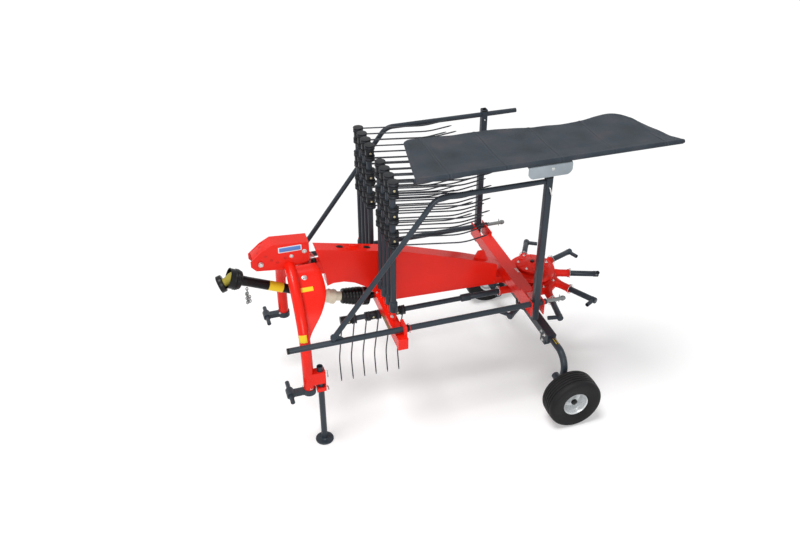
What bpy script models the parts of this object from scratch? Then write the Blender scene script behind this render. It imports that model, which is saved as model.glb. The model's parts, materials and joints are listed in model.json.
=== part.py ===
"""Single rotor hay rake, parked on its wheels and front stand with its guards folded up.

Lengths are in metres. In the design frame X = 0 is the rotor's axis, +X points to the tractor,
+Y to the machine's left, and Z = 0 is the ground. At the end the whole assembly is slid along X
so that its origin lies at the middle of its length.
"""
import math

import bmesh
import bpy
from mathutils import Matrix, Vector

# ---------------------------------------------------------------- fits
TOUCH_GAP = 0.0003          # between pieces that rest on each other
PIN_GAP = 0.001             # between a pin and the hole that it turns or slides in
RUN_GAP = 0.0008            # between the rotor's hub and the column that it runs on
MOVE_GAP = 0.006            # between pieces that pass each other

# ---------------------------------------------------------------- wheels and axle
TYRE_RADIUS = 0.19
TYRE_WIDTH = 0.155
RIM_RADIUS = 0.0865
WHEEL_Y = 0.754             # middle of the tyre
STUB_RADIUS = 0.0125
AXLE_TUBE_RADIUS = 0.028
AXLE_TUBE_INNER_Y = WHEEL_Y - 0.249
LEG_RADIUS = 0.024
LEG_Z = 0.43
LEG_CORNER_Y = WHEEL_Y - 0.129
LEG_FOOT_Y = WHEEL_Y - 0.156
LEG_BEND = 0.11
AXLE_BOX_HALF = 0.40
AXLE_BOX_WIDTH = 0.064
AXLE_BOX_DEPTH = 0.06
AXLE_LUG_INNER_Y = 0.29
AXLE_LUG_OUTER_Y = 0.36
AXLE_LUG_DROP = 0.045
COLUMN_RADIUS = 0.048
FLANGE_RADIUS = 0.09

# ---------------------------------------------------------------- rotor
ARM_COUNT = 9
ARM_Z = 0.677
ARM_OFFSET = 0.0767         # of each arm's line from the rotor's axis
ARM_RADIUS = 0.02
ARM_TIP = 0.491
SOCKET_START = 0.12
SOCKET_MOUTH = 0.28
SOCKET_RADIUS = 0.0325
SOCKET_MOUTH_RADIUS = 0.0235
HUB_RADIUS = 0.185
HUB_BORE = COLUMN_RADIUS + RUN_GAP
HUB_TOP = ARM_Z + 0.035
HUB_BOTTOM = ARM_Z - 0.077
HANDLE_LENGTH = 0.082
HANDLE_ROLL = {4: 40.0}     # degrees that the cam has turned an arm's handle upwards, by arm number
HANDLE_RADIUS = 0.014
HANDLE_INSET = 0.02         # of the handle from the arm's end

# ---------------------------------------------------------------- tine arms
TINE_ARM_LENGTH = 0.916
TINE_ARM_RADIUS = 0.018
CLAMP_RADIUS = 0.026
CLAMP_LENGTH = 0.07
HOLDER_PITCH = 0.17
HOLDER_SIZE = (0.105, 0.046, 0.056)
TINE_PITCH = 0.085
TINE_RADIUS = 0.0045
TINE_KNEE_DROP = 0.416      # of the knee below the arm
TINE_KNEE_LEAN = 0.106      # of the knee to the side
TINE_TIP_DROP = 0.586
TINE_TIP_LEAN = 0.068
TINE_SPLAY = 0.009          # of knee and tip along the arm

# ---------------------------------------------------------------- beam and gearbox
BEAM_WIDTH = 0.09
BEAM_WALL = 0.006
BEAM_REAR_X = 0.29
BEAM_BOTTOM_REAR = 0.722
BEAM_SHEET = 0.014          # from the beam's top down to the roof of its hollow
INPUT_SHAFT_RADIUS = 0.02
INPUT_SHAFT_Z = 0.785
GEARBOX_RADIUS = 0.16
GEARBOX_TOP = 0.7747

# ---------------------------------------------------------------- crossbars
REAR_BAR_X = 0.208
REAR_BAR_WIDTH = 0.09
REAR_BAR_TOP = 0.86
REAR_BAR_BOTTOM = 0.775
REAR_BAR_HALF = 0.375
FRONT_BAR_X = 1.1325
FRONT_BAR_WIDTH = 0.065
FRONT_BAR_TOP = 0.83
FRONT_BAR_BOTTOM = 0.75
EAR_THICKNESS = 0.006
STUD_RADIUS = 0.015
STOWED_PITCH = 0.09         # between two stowed tine arms
STOWED_MIDDLE_Y = -0.0215   # of the whole row of stowed arms
STOWED_INNER = 0.1175       # from that middle to the first arm on each side
STOWED_Z = FRONT_BAR_TOP + 0.072

# ---------------------------------------------------------------- guard frames
GUARD_Y = 0.507
GUARD_Z = 0.858
FRONT_BAR_HALF = GUARD_Y + 0.068
GUARD_TUBE_RADIUS = 0.019
GUARD_FRONT_X = 1.846
GUARD_REAR_X = 0.14
GUARD_ROD_RADIUS = 0.0125
GUARD_ROD_END_X = 0.004
POST_X = REAR_BAR_X + 0.005
POST_WIDTH = 0.04
POST_DEPTH = 2 * (GUARD_TUBE_RADIUS + 0.004)
POST_TOP = 1.79
POST_BOTTOM = 0.738
RAIL_RADIUS = 0.0165
RAIL_Z = POST_TOP - 0.038
RAIL_BEND_X = 0.914
RAIL_BEND = 0.10
RAIL_FOOT_X = 1.581
RIGHT_RAIL_END_X = -0.023

# ---------------------------------------------------------------- curtain
ROD_RADIUS = 0.0125
ROD_Y = GUARD_Y + 0.023
ROD_Z = POST_TOP + 0.105
ROD_FRONT_X = 1.06
ROD_REAR_X = -0.657
ROD_REACH = 0.01            # of the rod past the cloth at each end
CURTAIN_INNER_Y = 0.0
CURTAIN_THICKNESS = 0.024
BRACKET_X = POST_X + 0.015
BRACKET_LENGTH = 0.28
BRACKET_SHEET = 0.006
BRACKET_WIDTH = 0.07
BRACKET_OUTER_Y = ROD_Y + 0.02
BRACKET_DROP = 0.075
BRACKET_PIN_RADIUS = 0.011

# ---------------------------------------------------------------- headstock
PIVOT_X = 1.623
SLEEVE_RADIUS = 0.04
SLEEVE_LOW = 1.03
SLEEVE_HIGH = 1.15
KINGPIN_RADIUS = 0.015
LUG_REAR_X = PIVOT_X - 0.04
LUG_FRONT_X = PIVOT_X + 0.077
LUG_THICKNESS = 0.012
LOW_LUG_HALF = 0.23
TOP_LUG_HALF = 0.044
ARCH_X = PIVOT_X + 0.094
ARCH_RADIUS = 0.035
ARCH_FOOT_Y = 0.430
ARCH_FOOT_Z = 0.473
ARCH_TOP_Z = 1.165
GUSSET_SHEET = 0.008
TOP_BRACKET_WIDTH = 0.11
TOP_BRACKET_WALL = 0.009
TOP_PIN_X = PIVOT_X + 0.272
TOP_PIN_Z = 1.215
TOP_PIN_RADIUS = 0.0127
TOP_PIN_REACH = 0.02        # of the pin past each side plate
HITCH_X = ARCH_X + 0.124
HITCH_Y = ARCH_FOOT_Y - 0.0073
HITCH_Z = ARCH_FOOT_Z - 0.0155
HITCH_FOOT_RADIUS = 0.042
HITCH_PIN_RADIUS = 0.01435
HITCH_PIN_LENGTH = 0.20
STAND_X = ARCH_X - 0.076
STAND_Y = ARCH_FOOT_Y + 0.004
STAND_RADIUS = 0.02
STAND_TOP = 0.635
STAND_FOOT_RADIUS = 0.06
STAND_FOOT_THICKNESS = 0.012
SLEEVE_WIDTH = 0.06

# ---------------------------------------------------------------- power take-off shaft
PTO_REAR = (PIVOT_X - 0.163, 0.0, 0.839)       # rear joint's centre
PTO_FRONT = (PIVOT_X + 0.452, 0.0, 1.105)           # front joint's centre
PTO_NOSE = (PIVOT_X + 0.537, 0.0, 1.075)            # middle of the front bell's mouth
PTO_TUBE_RADIUS = 0.0325
PTO_BELL_RADIUS = 0.0665
PTO_CONE_LENGTH = 0.055
PTO_YOKE_RADIUS = 0.028
JOINT_REACH = 0.055         # from the rear joint's centre to the shaft's tube
CLUTCH_REAR = (FRONT_BAR_X + 0.0675, 0.0, INPUT_SHAFT_Z)
CLUTCH_RADIUS = 0.055
CLUTCH_STUB_RADIUS = 0.022

SIDES = {"left": 1, "right": -1}

COLOURS = {
    # name: (red, green, blue), roughness, metallic
    "red_paint": ((0.80, 0.035, 0.015), 0.35, 0.0),
    "grey_paint": ((0.075, 0.095, 0.115), 0.45, 0.2),
    "black_plastic": ((0.012, 0.012, 0.013), 0.5, 0.0),
    "rubber": ((0.018, 0.018, 0.019), 0.75, 0.0),
    "spring_steel": ((0.09, 0.10, 0.11), 0.4, 0.6),
    "zinc": ((0.55, 0.57, 0.58), 0.35, 0.9),
    "rim_silver": ((0.72, 0.74, 0.75), 0.3, 0.7),
    "yoke_cream": ((0.74, 0.70, 0.56), 0.5, 0.1),
    "curtain_cloth": ((0.07, 0.085, 0.10), 0.8, 0.0),
}


# ---------------------------------------------------------------- helpers
def make_collection(name):
    collection = bpy.data.collections.new(name)
    bpy.context.scene.collection.children.link(collection)
    return collection


def make_material(name, colour, roughness, metallic):
    material = bpy.data.materials.new(name)
    material.use_nodes = True
    shader = material.node_tree.nodes["Principled BSDF"]
    shader.inputs["Base Color"].default_value = (*colour, 1.0)
    shader.inputs["Roughness"].default_value = roughness
    shader.inputs["Metallic"].default_value = metallic
    return material


def make_empty(name, location, parent=None):
    """An empty on a joint's axis; the pieces that move with it are its children."""
    empty = bpy.data.objects.new(name, None)
    empty.empty_display_size = 0.1
    empty.location = location
    PARTS.objects.link(empty)
    bpy.context.view_layer.update()
    if parent:
        empty.parent = parent
        empty.matrix_parent_inverse = parent.matrix_world.inverted()
    return empty


def link_mesh(name, mesh, location=(0, 0, 0), rotation=(0, 0, 0)):
    piece = bpy.data.objects.new(name, mesh)
    piece.location = location
    piece.rotation_euler = rotation
    PARTS.objects.link(piece)
    return piece


def finish(piece, finish_name, parent, smooth=True):
    """Gives a piece its own material and parents it where it stands."""
    colour, roughness, metallic = COLOURS[finish_name]
    piece.data.materials.clear()
    piece.data.materials.append(make_material(piece.name, colour, roughness, metallic))
    if smooth and piece.type == "MESH":
        piece.data.shade_smooth()
        piece.data.set_sharp_from_angle(angle=math.radians(35))
    bpy.context.view_layer.update()
    piece.parent = parent
    piece.matrix_parent_inverse = parent.matrix_world.inverted()
    return piece


def box(name, low, high):
    """A box between two opposite corners."""
    low, high = Vector(low), Vector(high)
    mesh = bpy.data.meshes.new(name)
    shape = bmesh.new()
    bmesh.ops.create_cube(shape, size=1.0, matrix=Matrix.Diagonal((*(high - low), 1.0)))
    shape.to_mesh(mesh)
    shape.free()
    return link_mesh(name, mesh, (low + high) / 2)


def rod(name, start, end, radius, end_radius=None, sides=20):
    """A round bar or cone from one point to another."""
    start, end = Vector(start), Vector(end)
    mesh = bpy.data.meshes.new(name)
    shape = bmesh.new()
    bmesh.ops.create_cone(shape, cap_ends=True, segments=sides, radius1=radius,
                          radius2=radius if end_radius is None else end_radius,
                          depth=(end - start).length)
    shape.to_mesh(mesh)
    shape.free()
    turn = (end - start).to_track_quat("Z", "Y").to_euler()
    return link_mesh(name, mesh, (start + end) / 2, turn)


def turned(name, profile, location, rotation=(0, 0, 0), steps=32):
    """A closed profile of (radius, height) points, swept round Z; it runs down its outer side."""
    mesh = bpy.data.meshes.new(name)
    count = len(profile)
    mesh.from_pydata([(radius, 0.0, height) for radius, height in profile],
                     [(i, (i + 1) % count) for i in range(count)], [])
    piece = link_mesh(name, mesh, location, rotation)
    screw = piece.modifiers.new("turn", "SCREW")
    screw.steps = screw.render_steps = steps
    screw.use_merge_vertices = True
    screw.merge_threshold = 0.00005
    return piece


def rounded_path(points, radius, steps=4):
    """The points with every inner corner replaced by an arc of the given radius."""
    points = [Vector(point) for point in points]
    path = [points[0]]
    for before, corner, after in zip(points, points[1:], points[2:]):
        back, ahead = (before - corner).normalized(), (after - corner).normalized()
        half = back.angle(ahead) / 2
        reach = radius / math.tan(half)
        centre = corner + (back + ahead).normalized() * (radius / math.sin(half))
        first, last = corner + back * reach - centre, corner + ahead * reach - centre
        path += [centre + first.slerp(last, step / steps).normalized() * radius for step in range(steps + 1)]
    path.append(points[-1])
    return path


def tube(name, points, radius, resolution=4):
    """A round tube along a path: a curve with a bevel and filled ends."""
    curve = bpy.data.curves.new(name, "CURVE")
    curve.dimensions = "3D"
    curve.bevel_depth = radius
    curve.bevel_resolution = resolution
    curve.use_fill_caps = True
    spline = curve.splines.new("POLY")
    spline.points.add(len(points) - 1)
    for spot, point in zip(spline.points, points):
        spot.co = (*point, 1.0)
    return link_mesh(name, curve)


def plate(name, outline, middle_y, thickness):
    """A flat plate across Y: an (x, z) outline, filled and extruded to its thickness."""
    curve = bpy.data.curves.new(name, "CURVE")
    curve.dimensions = "2D"
    curve.fill_mode = "BOTH"
    curve.extrude = thickness / 2
    spline = curve.splines.new("POLY")
    spline.points.add(len(outline) - 1)
    for spot, (x, z) in zip(spline.points, outline):
        spot.co = (x, z, 0.0, 1.0)
    spline.use_cyclic_u = True
    return link_mesh(name, curve, (0, middle_y, 0), (math.radians(90), 0, 0))


def settle(piece):
    """Replaces a piece by its evaluated mesh, with the loose caps of a curve welded."""
    bpy.context.view_layer.update()
    evaluated = piece.evaluated_get(bpy.context.evaluated_depsgraph_get())
    mesh = bpy.data.meshes.new_from_object(evaluated)
    shape = bmesh.new()
    shape.from_mesh(mesh)
    bmesh.ops.remove_doubles(shape, verts=shape.verts, dist=0.00005)
    bmesh.ops.recalc_face_normals(shape, faces=shape.faces)
    shape.to_mesh(mesh)
    shape.free()
    name, placing = piece.name, piece.matrix_world.copy()
    bpy.data.objects.remove(piece)
    solid = link_mesh(name, mesh)
    solid.matrix_world = placing
    solid.name = name
    return solid


def combine(base, others, operation):
    """Joins other pieces to a base, or cuts them from it, and removes them."""
    base = settle(base)
    others = [settle(other) for other in others]
    for other in others:
        boolean = base.modifiers.new(other.name, "BOOLEAN")
        boolean.operation = operation
        boolean.object = other
        boolean.solver = "EXACT"
    base = settle(base)
    for other in others:
        bpy.data.objects.remove(other)
    return base


def joined(base, *others):
    return combine(base, others, "UNION")


def cut(base, *others):
    return combine(base, others, "DIFFERENCE")


# ---------------------------------------------------------------- beam, gearbox and crossbars
def build_beam(body):
    """Hollow beam from the swivel head down to the gearbox, open below, with an arch for the shaft."""
    bar_top = FRONT_BAR_TOP + TOUCH_GAP
    bar_rear = FRONT_BAR_X - FRONT_BAR_WIDTH / 2 - TOUCH_GAP
    head_x = PIVOT_X - 0.078
    top_line = [(head_x, 1.245), (0.99, 1.125), (0.53, 0.975), (BEAM_REAR_X, 0.885)]
    under_line = [(BEAM_REAR_X, BEAM_BOTTOM_REAR), (1.035, 0.747), (bar_rear, bar_top),
                  (FRONT_BAR_X + 0.03, bar_top), (1.225, 0.893), (1.30, 0.942), (1.37, 0.965),
                  (head_x - 0.105, 0.968), (head_x - 0.063, 0.955), (head_x - 0.057, 1.035)]
    beam = plate("main_beam", top_line + under_line, 0.0, BEAM_WIDTH)
    front_wall, rear_wall = head_x - 0.105, BEAM_REAR_X + BEAM_SHEET
    roof = [(front_wall, 1.19)] + [(x, z - BEAM_SHEET) for x, z in top_line[1:3]] + [(rear_wall, 0.866)]
    hollow = plate("beam_hollow", roof + [(rear_wall, 0.6), (front_wall, 0.6)], 0.0,
                   BEAM_WIDTH - 2 * BEAM_WALL)
    beam = cut(beam, hollow)
    sleeve = rod("sleeve", (PIVOT_X, 0, SLEEVE_LOW), (PIVOT_X, 0, SLEEVE_HIGH), SLEEVE_RADIUS, sides=24)
    web = box("web", (PIVOT_X - 0.163, -0.03, SLEEVE_LOW + 0.015),
              (PIVOT_X - 0.023, 0.03, SLEEVE_HIGH - 0.01))
    ear = plate("ear", [(0.33, 0.87), (0.46, 0.915), (0.42, 0.99), (0.375, 0.99)], 0.0, LUG_THICKNESS)
    beam = joined(beam, sleeve, web, ear)
    bore = rod("bore", (PIVOT_X, 0, SLEEVE_LOW - 0.03), (PIVOT_X, 0, SLEEVE_HIGH + 0.03),
               KINGPIN_RADIUS + PIN_GAP, sides=24)
    finish(cut(beam, bore), "red_paint", body)

    shaft = rod("input_shaft", (BEAM_REAR_X + 0.02, 0, INPUT_SHAFT_Z),
                (bar_rear - TOUCH_GAP, 0, INPUT_SHAFT_Z),
                INPUT_SHAFT_RADIUS)
    finish(shaft, "grey_paint", body)


def build_gearbox(body):
    """Flat red casting under the rear crossbar, with a neck to the beam."""
    casing = turned("gearbox", [(0.0, 0.0), (GEARBOX_RADIUS, 0.0), (GEARBOX_RADIUS, -0.03), (0.13, -0.052),
                                (0.0, -0.052)], (0, 0, GEARBOX_TOP))
    neck = box("neck", (0.10, -0.045, BEAM_BOTTOM_REAR + 0.001),
               (BEAM_REAR_X - TOUCH_GAP, 0.045, GEARBOX_TOP - 0.001))
    dome = rod("dome", (-0.03, 0, GEARBOX_TOP - 0.01), (-0.03, 0, 0.80), 0.115, 0.09, sides=28)
    finish(joined(casing, neck, dome), "red_paint", body)


def build_rear_crossbar(body):
    """Channel across the beam's rear, open below, whose ears carry the guard tubes."""
    low_x, high_x = REAR_BAR_X - REAR_BAR_WIDTH / 2, REAR_BAR_X + REAR_BAR_WIDTH / 2
    channel = box("rear_crossbar", (low_x, -REAR_BAR_HALF, REAR_BAR_BOTTOM),
                  (high_x, REAR_BAR_HALF, REAR_BAR_TOP))
    inside = box("inside", (low_x + EAR_THICKNESS, -1, REAR_BAR_BOTTOM - 0.1),
                 (high_x - EAR_THICKNESS, 1, REAR_BAR_TOP - EAR_THICKNESS))
    channel = cut(channel, inside)
    ears, holes = [], []
    for name, side in SIDES.items():
        for label, x in (("front", high_x - EAR_THICKNESS), ("rear", low_x)):
            inner, outer = sorted((side * (REAR_BAR_HALF - 0.02), side * (GUARD_Y + 0.032)))
            ears.append(box(f"{name}_{label}_ear", (x, inner, REAR_BAR_BOTTOM + 0.005),
                            (x + EAR_THICKNESS, outer, REAR_BAR_TOP + 0.025)))
        holes.append(rod(f"{name}_hole", (0.0, side * GUARD_Y, GUARD_Z), (0.5, side * GUARD_Y, GUARD_Z),
                         GUARD_TUBE_RADIUS + PIN_GAP, sides=24))
    finish(cut(joined(channel, *ears), *holes), "red_paint", body)


def stowed_rows():
    """The place across the machine of each stowed tine arm, four on each side."""
    steps = [STOWED_INNER + number * STOWED_PITCH for number in range((ARM_COUNT - 1) // 2)]
    return [STOWED_MIDDLE_Y + side * step for side in SIDES.values() for step in steps]


def build_front_crossbar(body):
    """Bar under the beam, with a lug for each guard tube and a stud under each stowed arm."""
    low_x, high_x = FRONT_BAR_X - FRONT_BAR_WIDTH / 2, FRONT_BAR_X + FRONT_BAR_WIDTH / 2
    bar = box("front_crossbar", (low_x, -FRONT_BAR_HALF, FRONT_BAR_BOTTOM),
              (high_x, FRONT_BAR_HALF, FRONT_BAR_TOP))
    extras, holes = [], []
    for name, side in SIDES.items():
        inner, outer = sorted((side * (GUARD_Y - 0.045), side * (GUARD_Y + 0.045)))
        extras.append(box(f"{name}_lug", (low_x, inner, FRONT_BAR_TOP - 0.01),
                          (low_x + 0.02, outer, GUARD_Z + 0.045)))
        holes.append(rod(f"{name}_lug_hole", (low_x - 0.1, side * GUARD_Y, GUARD_Z),
                         (high_x + 0.1, side * GUARD_Y, GUARD_Z), GUARD_TUBE_RADIUS + PIN_GAP, sides=24))
    for row, y in enumerate(stowed_rows()):
        extras.append(rod(f"stud_{row}", (FRONT_BAR_X, y, FRONT_BAR_TOP - 0.01),
                          (FRONT_BAR_X, y, STOWED_Z - TOUCH_GAP), STUD_RADIUS, sides=12))
    finish(cut(joined(bar, *extras), *holes), "red_paint", body)


# ---------------------------------------------------------------- chassis and wheels
def build_chassis(body):
    """Column through the rotor with the axle box at its foot, and a bent leg to each wheel."""
    half = AXLE_BOX_WIDTH / 2
    low_z, high_z = LEG_Z - AXLE_BOX_DEPTH / 2, LEG_Z + AXLE_BOX_DEPTH / 2
    beam = box("axle_box", (-half, -AXLE_BOX_HALF, low_z), (half, AXLE_BOX_HALF, high_z))
    column = rod("column", (0, 0, high_z - 0.01), (0, 0, GEARBOX_TOP - 0.052 - TOUCH_GAP),
                 COLUMN_RADIUS, sides=28)
    flange = rod("flange", (0, 0, high_z - 0.008), (0, 0, high_z + 0.018), FLANGE_RADIUS, sides=28)
    lugs = []
    for name, side in SIDES.items():
        inner, outer = sorted((side * AXLE_LUG_INNER_Y, side * AXLE_LUG_OUTER_Y))
        lugs.append(box(f"{name}_lug", (-0.01, inner, low_z - AXLE_LUG_DROP), (half, outer, low_z + 0.01)))
    finish(joined(beam, column, flange, *lugs), "grey_paint", body)

    for name, side in SIDES.items():
        path = rounded_path([(0, side * (AXLE_BOX_HALF + TOUCH_GAP), LEG_Z), (0, side * LEG_CORNER_Y, LEG_Z),
                             (0, side * LEG_FOOT_Y, TYRE_RADIUS)], LEG_BEND)
        leg = tube(f"{name}_wheel_leg", path, LEG_RADIUS)
        inner_wall = WHEEL_Y - TYRE_WIDTH / 2 - MOVE_GAP
        axle = rod("axle", (0, side * AXLE_TUBE_INNER_Y, TYRE_RADIUS), (0, side * inner_wall, TYRE_RADIUS),
                   AXLE_TUBE_RADIUS)
        stub = rod("stub", (0, side * (inner_wall - 0.02), TYRE_RADIUS),
                   (0, side * (WHEEL_Y + 0.06), TYRE_RADIUS),
                   STUB_RADIUS)
        finish(joined(leg, axle, stub), "grey_paint", body)


def build_wheel(name, side, body):
    """Tyre and dished rim, turned about the axle."""
    half = TYRE_WIDTH / 2
    bead = RIM_RADIUS + TOUCH_GAP
    tyre_profile = [(bead, half - 0.010), (0.155, half), (0.178, half - 0.010), (TYRE_RADIUS, half - 0.032),
                    (TYRE_RADIUS, -half + 0.032), (0.178, -half + 0.010), (0.155, -half), (bead,
                                                                                           -half + 0.010)]
    bore = STUB_RADIUS + PIN_GAP
    rim_profile = [(bore, 0.070), (0.030, 0.070), (0.030, 0.012), (0.070, 0.004), (0.078, 0.062),
                   (RIM_RADIUS, 0.066), (RIM_RADIUS, -0.066), (0.078, -0.062), (0.070, -0.008),
                   (0.030, -0.004), (0.030, -0.055), (bore, -0.055)]
    centre = (0, side * WHEEL_Y, TYRE_RADIUS)
    turn = (math.radians(-90 * side), 0, 0)
    finish(turned(f"{name}_tyre", tyre_profile, centre, turn, 40), "rubber", body)
    finish(turned(f"{name}_rim", rim_profile, centre, turn, 24), "rim_silver", body)


# ---------------------------------------------------------------- rotor
def arm_point(angle, distance, swing=0.0, lift=0.0):
    """A point along a control arm, whose line passes the rotor's axis at ARM_OFFSET."""
    along = Vector((math.cos(angle), math.sin(angle), 0))
    across = Vector((-math.sin(angle), math.cos(angle), 0))
    return along * distance + across * (ARM_OFFSET + swing) + Vector((0, 0, ARM_Z + lift))


def build_rotor(body):
    """Hub with its sockets, the control arms, and the one tine arm that is mounted."""
    hub = turned("rotor_hub", [(HUB_BORE, HUB_TOP), (0.15, HUB_TOP), (HUB_RADIUS, HUB_TOP - 0.012),
                               (HUB_RADIUS, ARM_Z - 0.025), (0.15, ARM_Z - 0.042), (0.12, HUB_BOTTOM),
                               (HUB_BORE, HUB_BOTTOM)], (0, 0, 0), steps=27)
    sockets = []
    for arm in range(ARM_COUNT):
        angle = math.tau * arm / ARM_COUNT
        sockets.append(rod(f"socket_{arm}", arm_point(angle, SOCKET_START), arm_point(angle, SOCKET_MOUTH),
                           SOCKET_RADIUS, SOCKET_MOUTH_RADIUS, sides=14))
    finish(joined(hub, *sockets), "red_paint", body)

    for arm in range(ARM_COUNT):
        angle = math.tau * arm / ARM_COUNT
        stub = rod(f"control_arm_{arm + 1}", arm_point(angle, SOCKET_MOUTH + TOUCH_GAP),
                   arm_point(angle, ARM_TIP),
                   ARM_RADIUS, sides=14)
        if arm > 0:
            roll = math.radians(HANDLE_ROLL.get(arm, 0.0))
            end = arm_point(angle, ARM_TIP - HANDLE_INSET, -HANDLE_LENGTH * math.cos(roll),
                            HANDLE_LENGTH * math.sin(roll))
            handle = rod("handle", arm_point(angle, ARM_TIP - HANDLE_INSET), end, HANDLE_RADIUS, sides=12)
            stub = joined(stub, handle)
        finish(stub, "grey_paint", body)

    front = build_tine_arm("front_tine_arm")
    front.location = arm_point(0.0, ARM_TIP + TOUCH_GAP)
    finish(front, "grey_paint", body)


def build_tine_arm(name):
    """Tine arm lying along +X from its clamp, its tines hanging down with a knee."""
    bar = rod(name, (0, 0, 0), (TINE_ARM_LENGTH, 0, 0), TINE_ARM_RADIUS, sides=12)
    clamp = rod("clamp", (0, 0, 0), (CLAMP_LENGTH, 0, 0), CLAMP_RADIUS, sides=12)
    bar = joined(bar, clamp)
    length, width, height = HOLDER_SIZE
    outer_tine = TINE_ARM_LENGTH - 0.0025
    pieces = []
    for holder in range(3):
        middle = outer_tine - TINE_PITCH / 2 - holder * HOLDER_PITCH
        pieces.append(box(f"holder_{holder}", (middle - length / 2, -width / 2, -height / 2 - 0.004),
                          (middle + length / 2, width / 2, height / 2 - 0.004)))
        for tine in (-1, 1):
            s = middle + tine * TINE_PITCH / 2
            path = rounded_path([(s, 0, -0.015), (s + TINE_SPLAY, -TINE_KNEE_LEAN, -TINE_KNEE_DROP),
                                 (s + TINE_SPLAY, -TINE_TIP_LEAN, -TINE_TIP_DROP)], 0.15, 1)
            pieces.append(tube(f"tine_{holder}_{tine}", path, TINE_RADIUS, 1))
    arm = joined(bar, *pieces)
    arm.data.transform(arm.matrix_world)
    arm.matrix_world = Matrix.Identity(4)
    return arm


def build_stowed_arms(body):
    """The other tine arms, standing on the front crossbar with their tines pointing rearward."""
    pattern = build_tine_arm("stowed_pattern")
    upright = Matrix(((0, 0, 1), (0, -1, 0), (1, 0, 0))).to_euler()
    for row, y in enumerate(stowed_rows()):
        arm = link_mesh(f"stowed_tine_arm_{row + 1}", pattern.data.copy(), (FRONT_BAR_X, y, STOWED_Z),
                        upright)
        finish(arm, "grey_paint", body)
    bpy.data.objects.remove(pattern)


# ---------------------------------------------------------------- guard frames
def build_guard(name, side, body):
    """One guard frame: tube, post and rail, which fold outward together about the tube's axis."""
    y = side * GUARD_Y
    lower = rod(f"{name}_guard_tube", (GUARD_FRONT_X, y, GUARD_Z), (GUARD_REAR_X, y, GUARD_Z),
                GUARD_TUBE_RADIUS)
    finish(lower, "grey_paint", body)
    slider = rod(f"{name}_guard_rod", (GUARD_REAR_X - TOUCH_GAP, y, GUARD_Z), (GUARD_ROD_END_X, y, GUARD_Z),
                 GUARD_ROD_RADIUS, sides=14)
    collar = rod("collar", (0.03, y, GUARD_Z), (0.012, y, GUARD_Z), 0.017, sides=14)
    finish(joined(slider, collar), "zinc", body)

    half, deep = POST_WIDTH / 2, POST_DEPTH / 2
    post = box(f"{name}_guard_post", (POST_X - half, y - deep, POST_BOTTOM),
               (POST_X + half, y + deep, POST_TOP))
    tube_hole = rod("tube_hole", (0, y, GUARD_Z), (0.5, y, GUARD_Z), GUARD_TUBE_RADIUS + TOUCH_GAP)
    cutters = [tube_hole]
    rail_end = POST_X + half + TOUCH_GAP
    if side < 0:
        rail_end = RIGHT_RAIL_END_X
        cutters.append(rod("rail_hole", (0, y, RAIL_Z), (0.5, y, RAIL_Z), RAIL_RADIUS + 2 * TOUCH_GAP,
                           sides=24))
    finish(cut(post, *cutters), "grey_paint", body)

    path = rounded_path([(rail_end, y, RAIL_Z), (RAIL_BEND_X, y, RAIL_Z), (RAIL_FOOT_X, y, GUARD_Z)],
                        RAIL_BEND)
    rail = tube(f"{name}_guard_rail", path, RAIL_RADIUS)
    seat = rod("seat", (1.0, y, GUARD_Z), (2.2, y, GUARD_Z), GUARD_TUBE_RADIUS + TOUCH_GAP, sides=20)
    below = box("below", (1.3, y - 0.1, GUARD_Z - 0.2), (1.9, y + 0.1, GUARD_Z))
    finish(cut(rail, seat, below), "grey_paint", body)


def build_curtain(body):
    """Swath curtain laid over the machine, on its rod and on the bracket pinned to the left post."""
    bracket_top = ROD_Z - ROD_RADIUS - TOUCH_GAP
    low_x, high_x = BRACKET_X - BRACKET_LENGTH / 2, BRACKET_X + BRACKET_LENGTH / 2
    flat = box("curtain_bracket", (low_x, BRACKET_OUTER_Y - BRACKET_WIDTH, bracket_top - BRACKET_SHEET),
               (high_x, BRACKET_OUTER_Y, bracket_top))
    skirt = box("skirt", (low_x, BRACKET_OUTER_Y - BRACKET_SHEET, bracket_top - BRACKET_DROP),
                (high_x, BRACKET_OUTER_Y, bracket_top - 0.001))
    pin = rod("pin", (POST_X, GUARD_Y, POST_TOP + TOUCH_GAP), (POST_X, GUARD_Y, bracket_top - 0.001),
              BRACKET_PIN_RADIUS, sides=14)
    finish(joined(flat, skirt, pin), "zinc", body)

    finish(rod("curtain_rod", (ROD_FRONT_X, ROD_Y, ROD_Z), (ROD_REAR_X, ROD_Y, ROD_Z), ROD_RADIUS, sides=16),
           "grey_paint", body)
    cloth = box("curtain", (ROD_REAR_X + ROD_REACH, CURTAIN_INNER_Y, ROD_Z - CURTAIN_THICKNESS / 2),
                (ROD_FRONT_X - ROD_REACH, ROD_Y - ROD_RADIUS - TOUCH_GAP, ROD_Z + CURTAIN_THICKNESS / 2))
    finish(cloth, "curtain_cloth", body, smooth=False)


# ---------------------------------------------------------------- headstock
# (y, z) of the arch's middle line, from its foot to its crown
ARCH_HALF = [(ARCH_FOOT_Y, ARCH_FOOT_Z), (ARCH_FOOT_Y, 0.62), (0.418, 0.76), (0.385, 0.87), (0.325, 0.965),
             (0.235, 1.055), (0.12, 1.135), (0.0, ARCH_TOP_Z)]
# (y, z, depth behind the arch's middle) along the gusset, from its foot to its top
GUSSET_ROWS = [(0.400, 0.75, 0.02), (0.366, 0.835, 0.05), (0.300, 0.945, 0.14), (0.215, 1.03, 0.19),
               (0.10, 1.105, 0.19), (0.066, 1.165, 0.16)]


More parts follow.
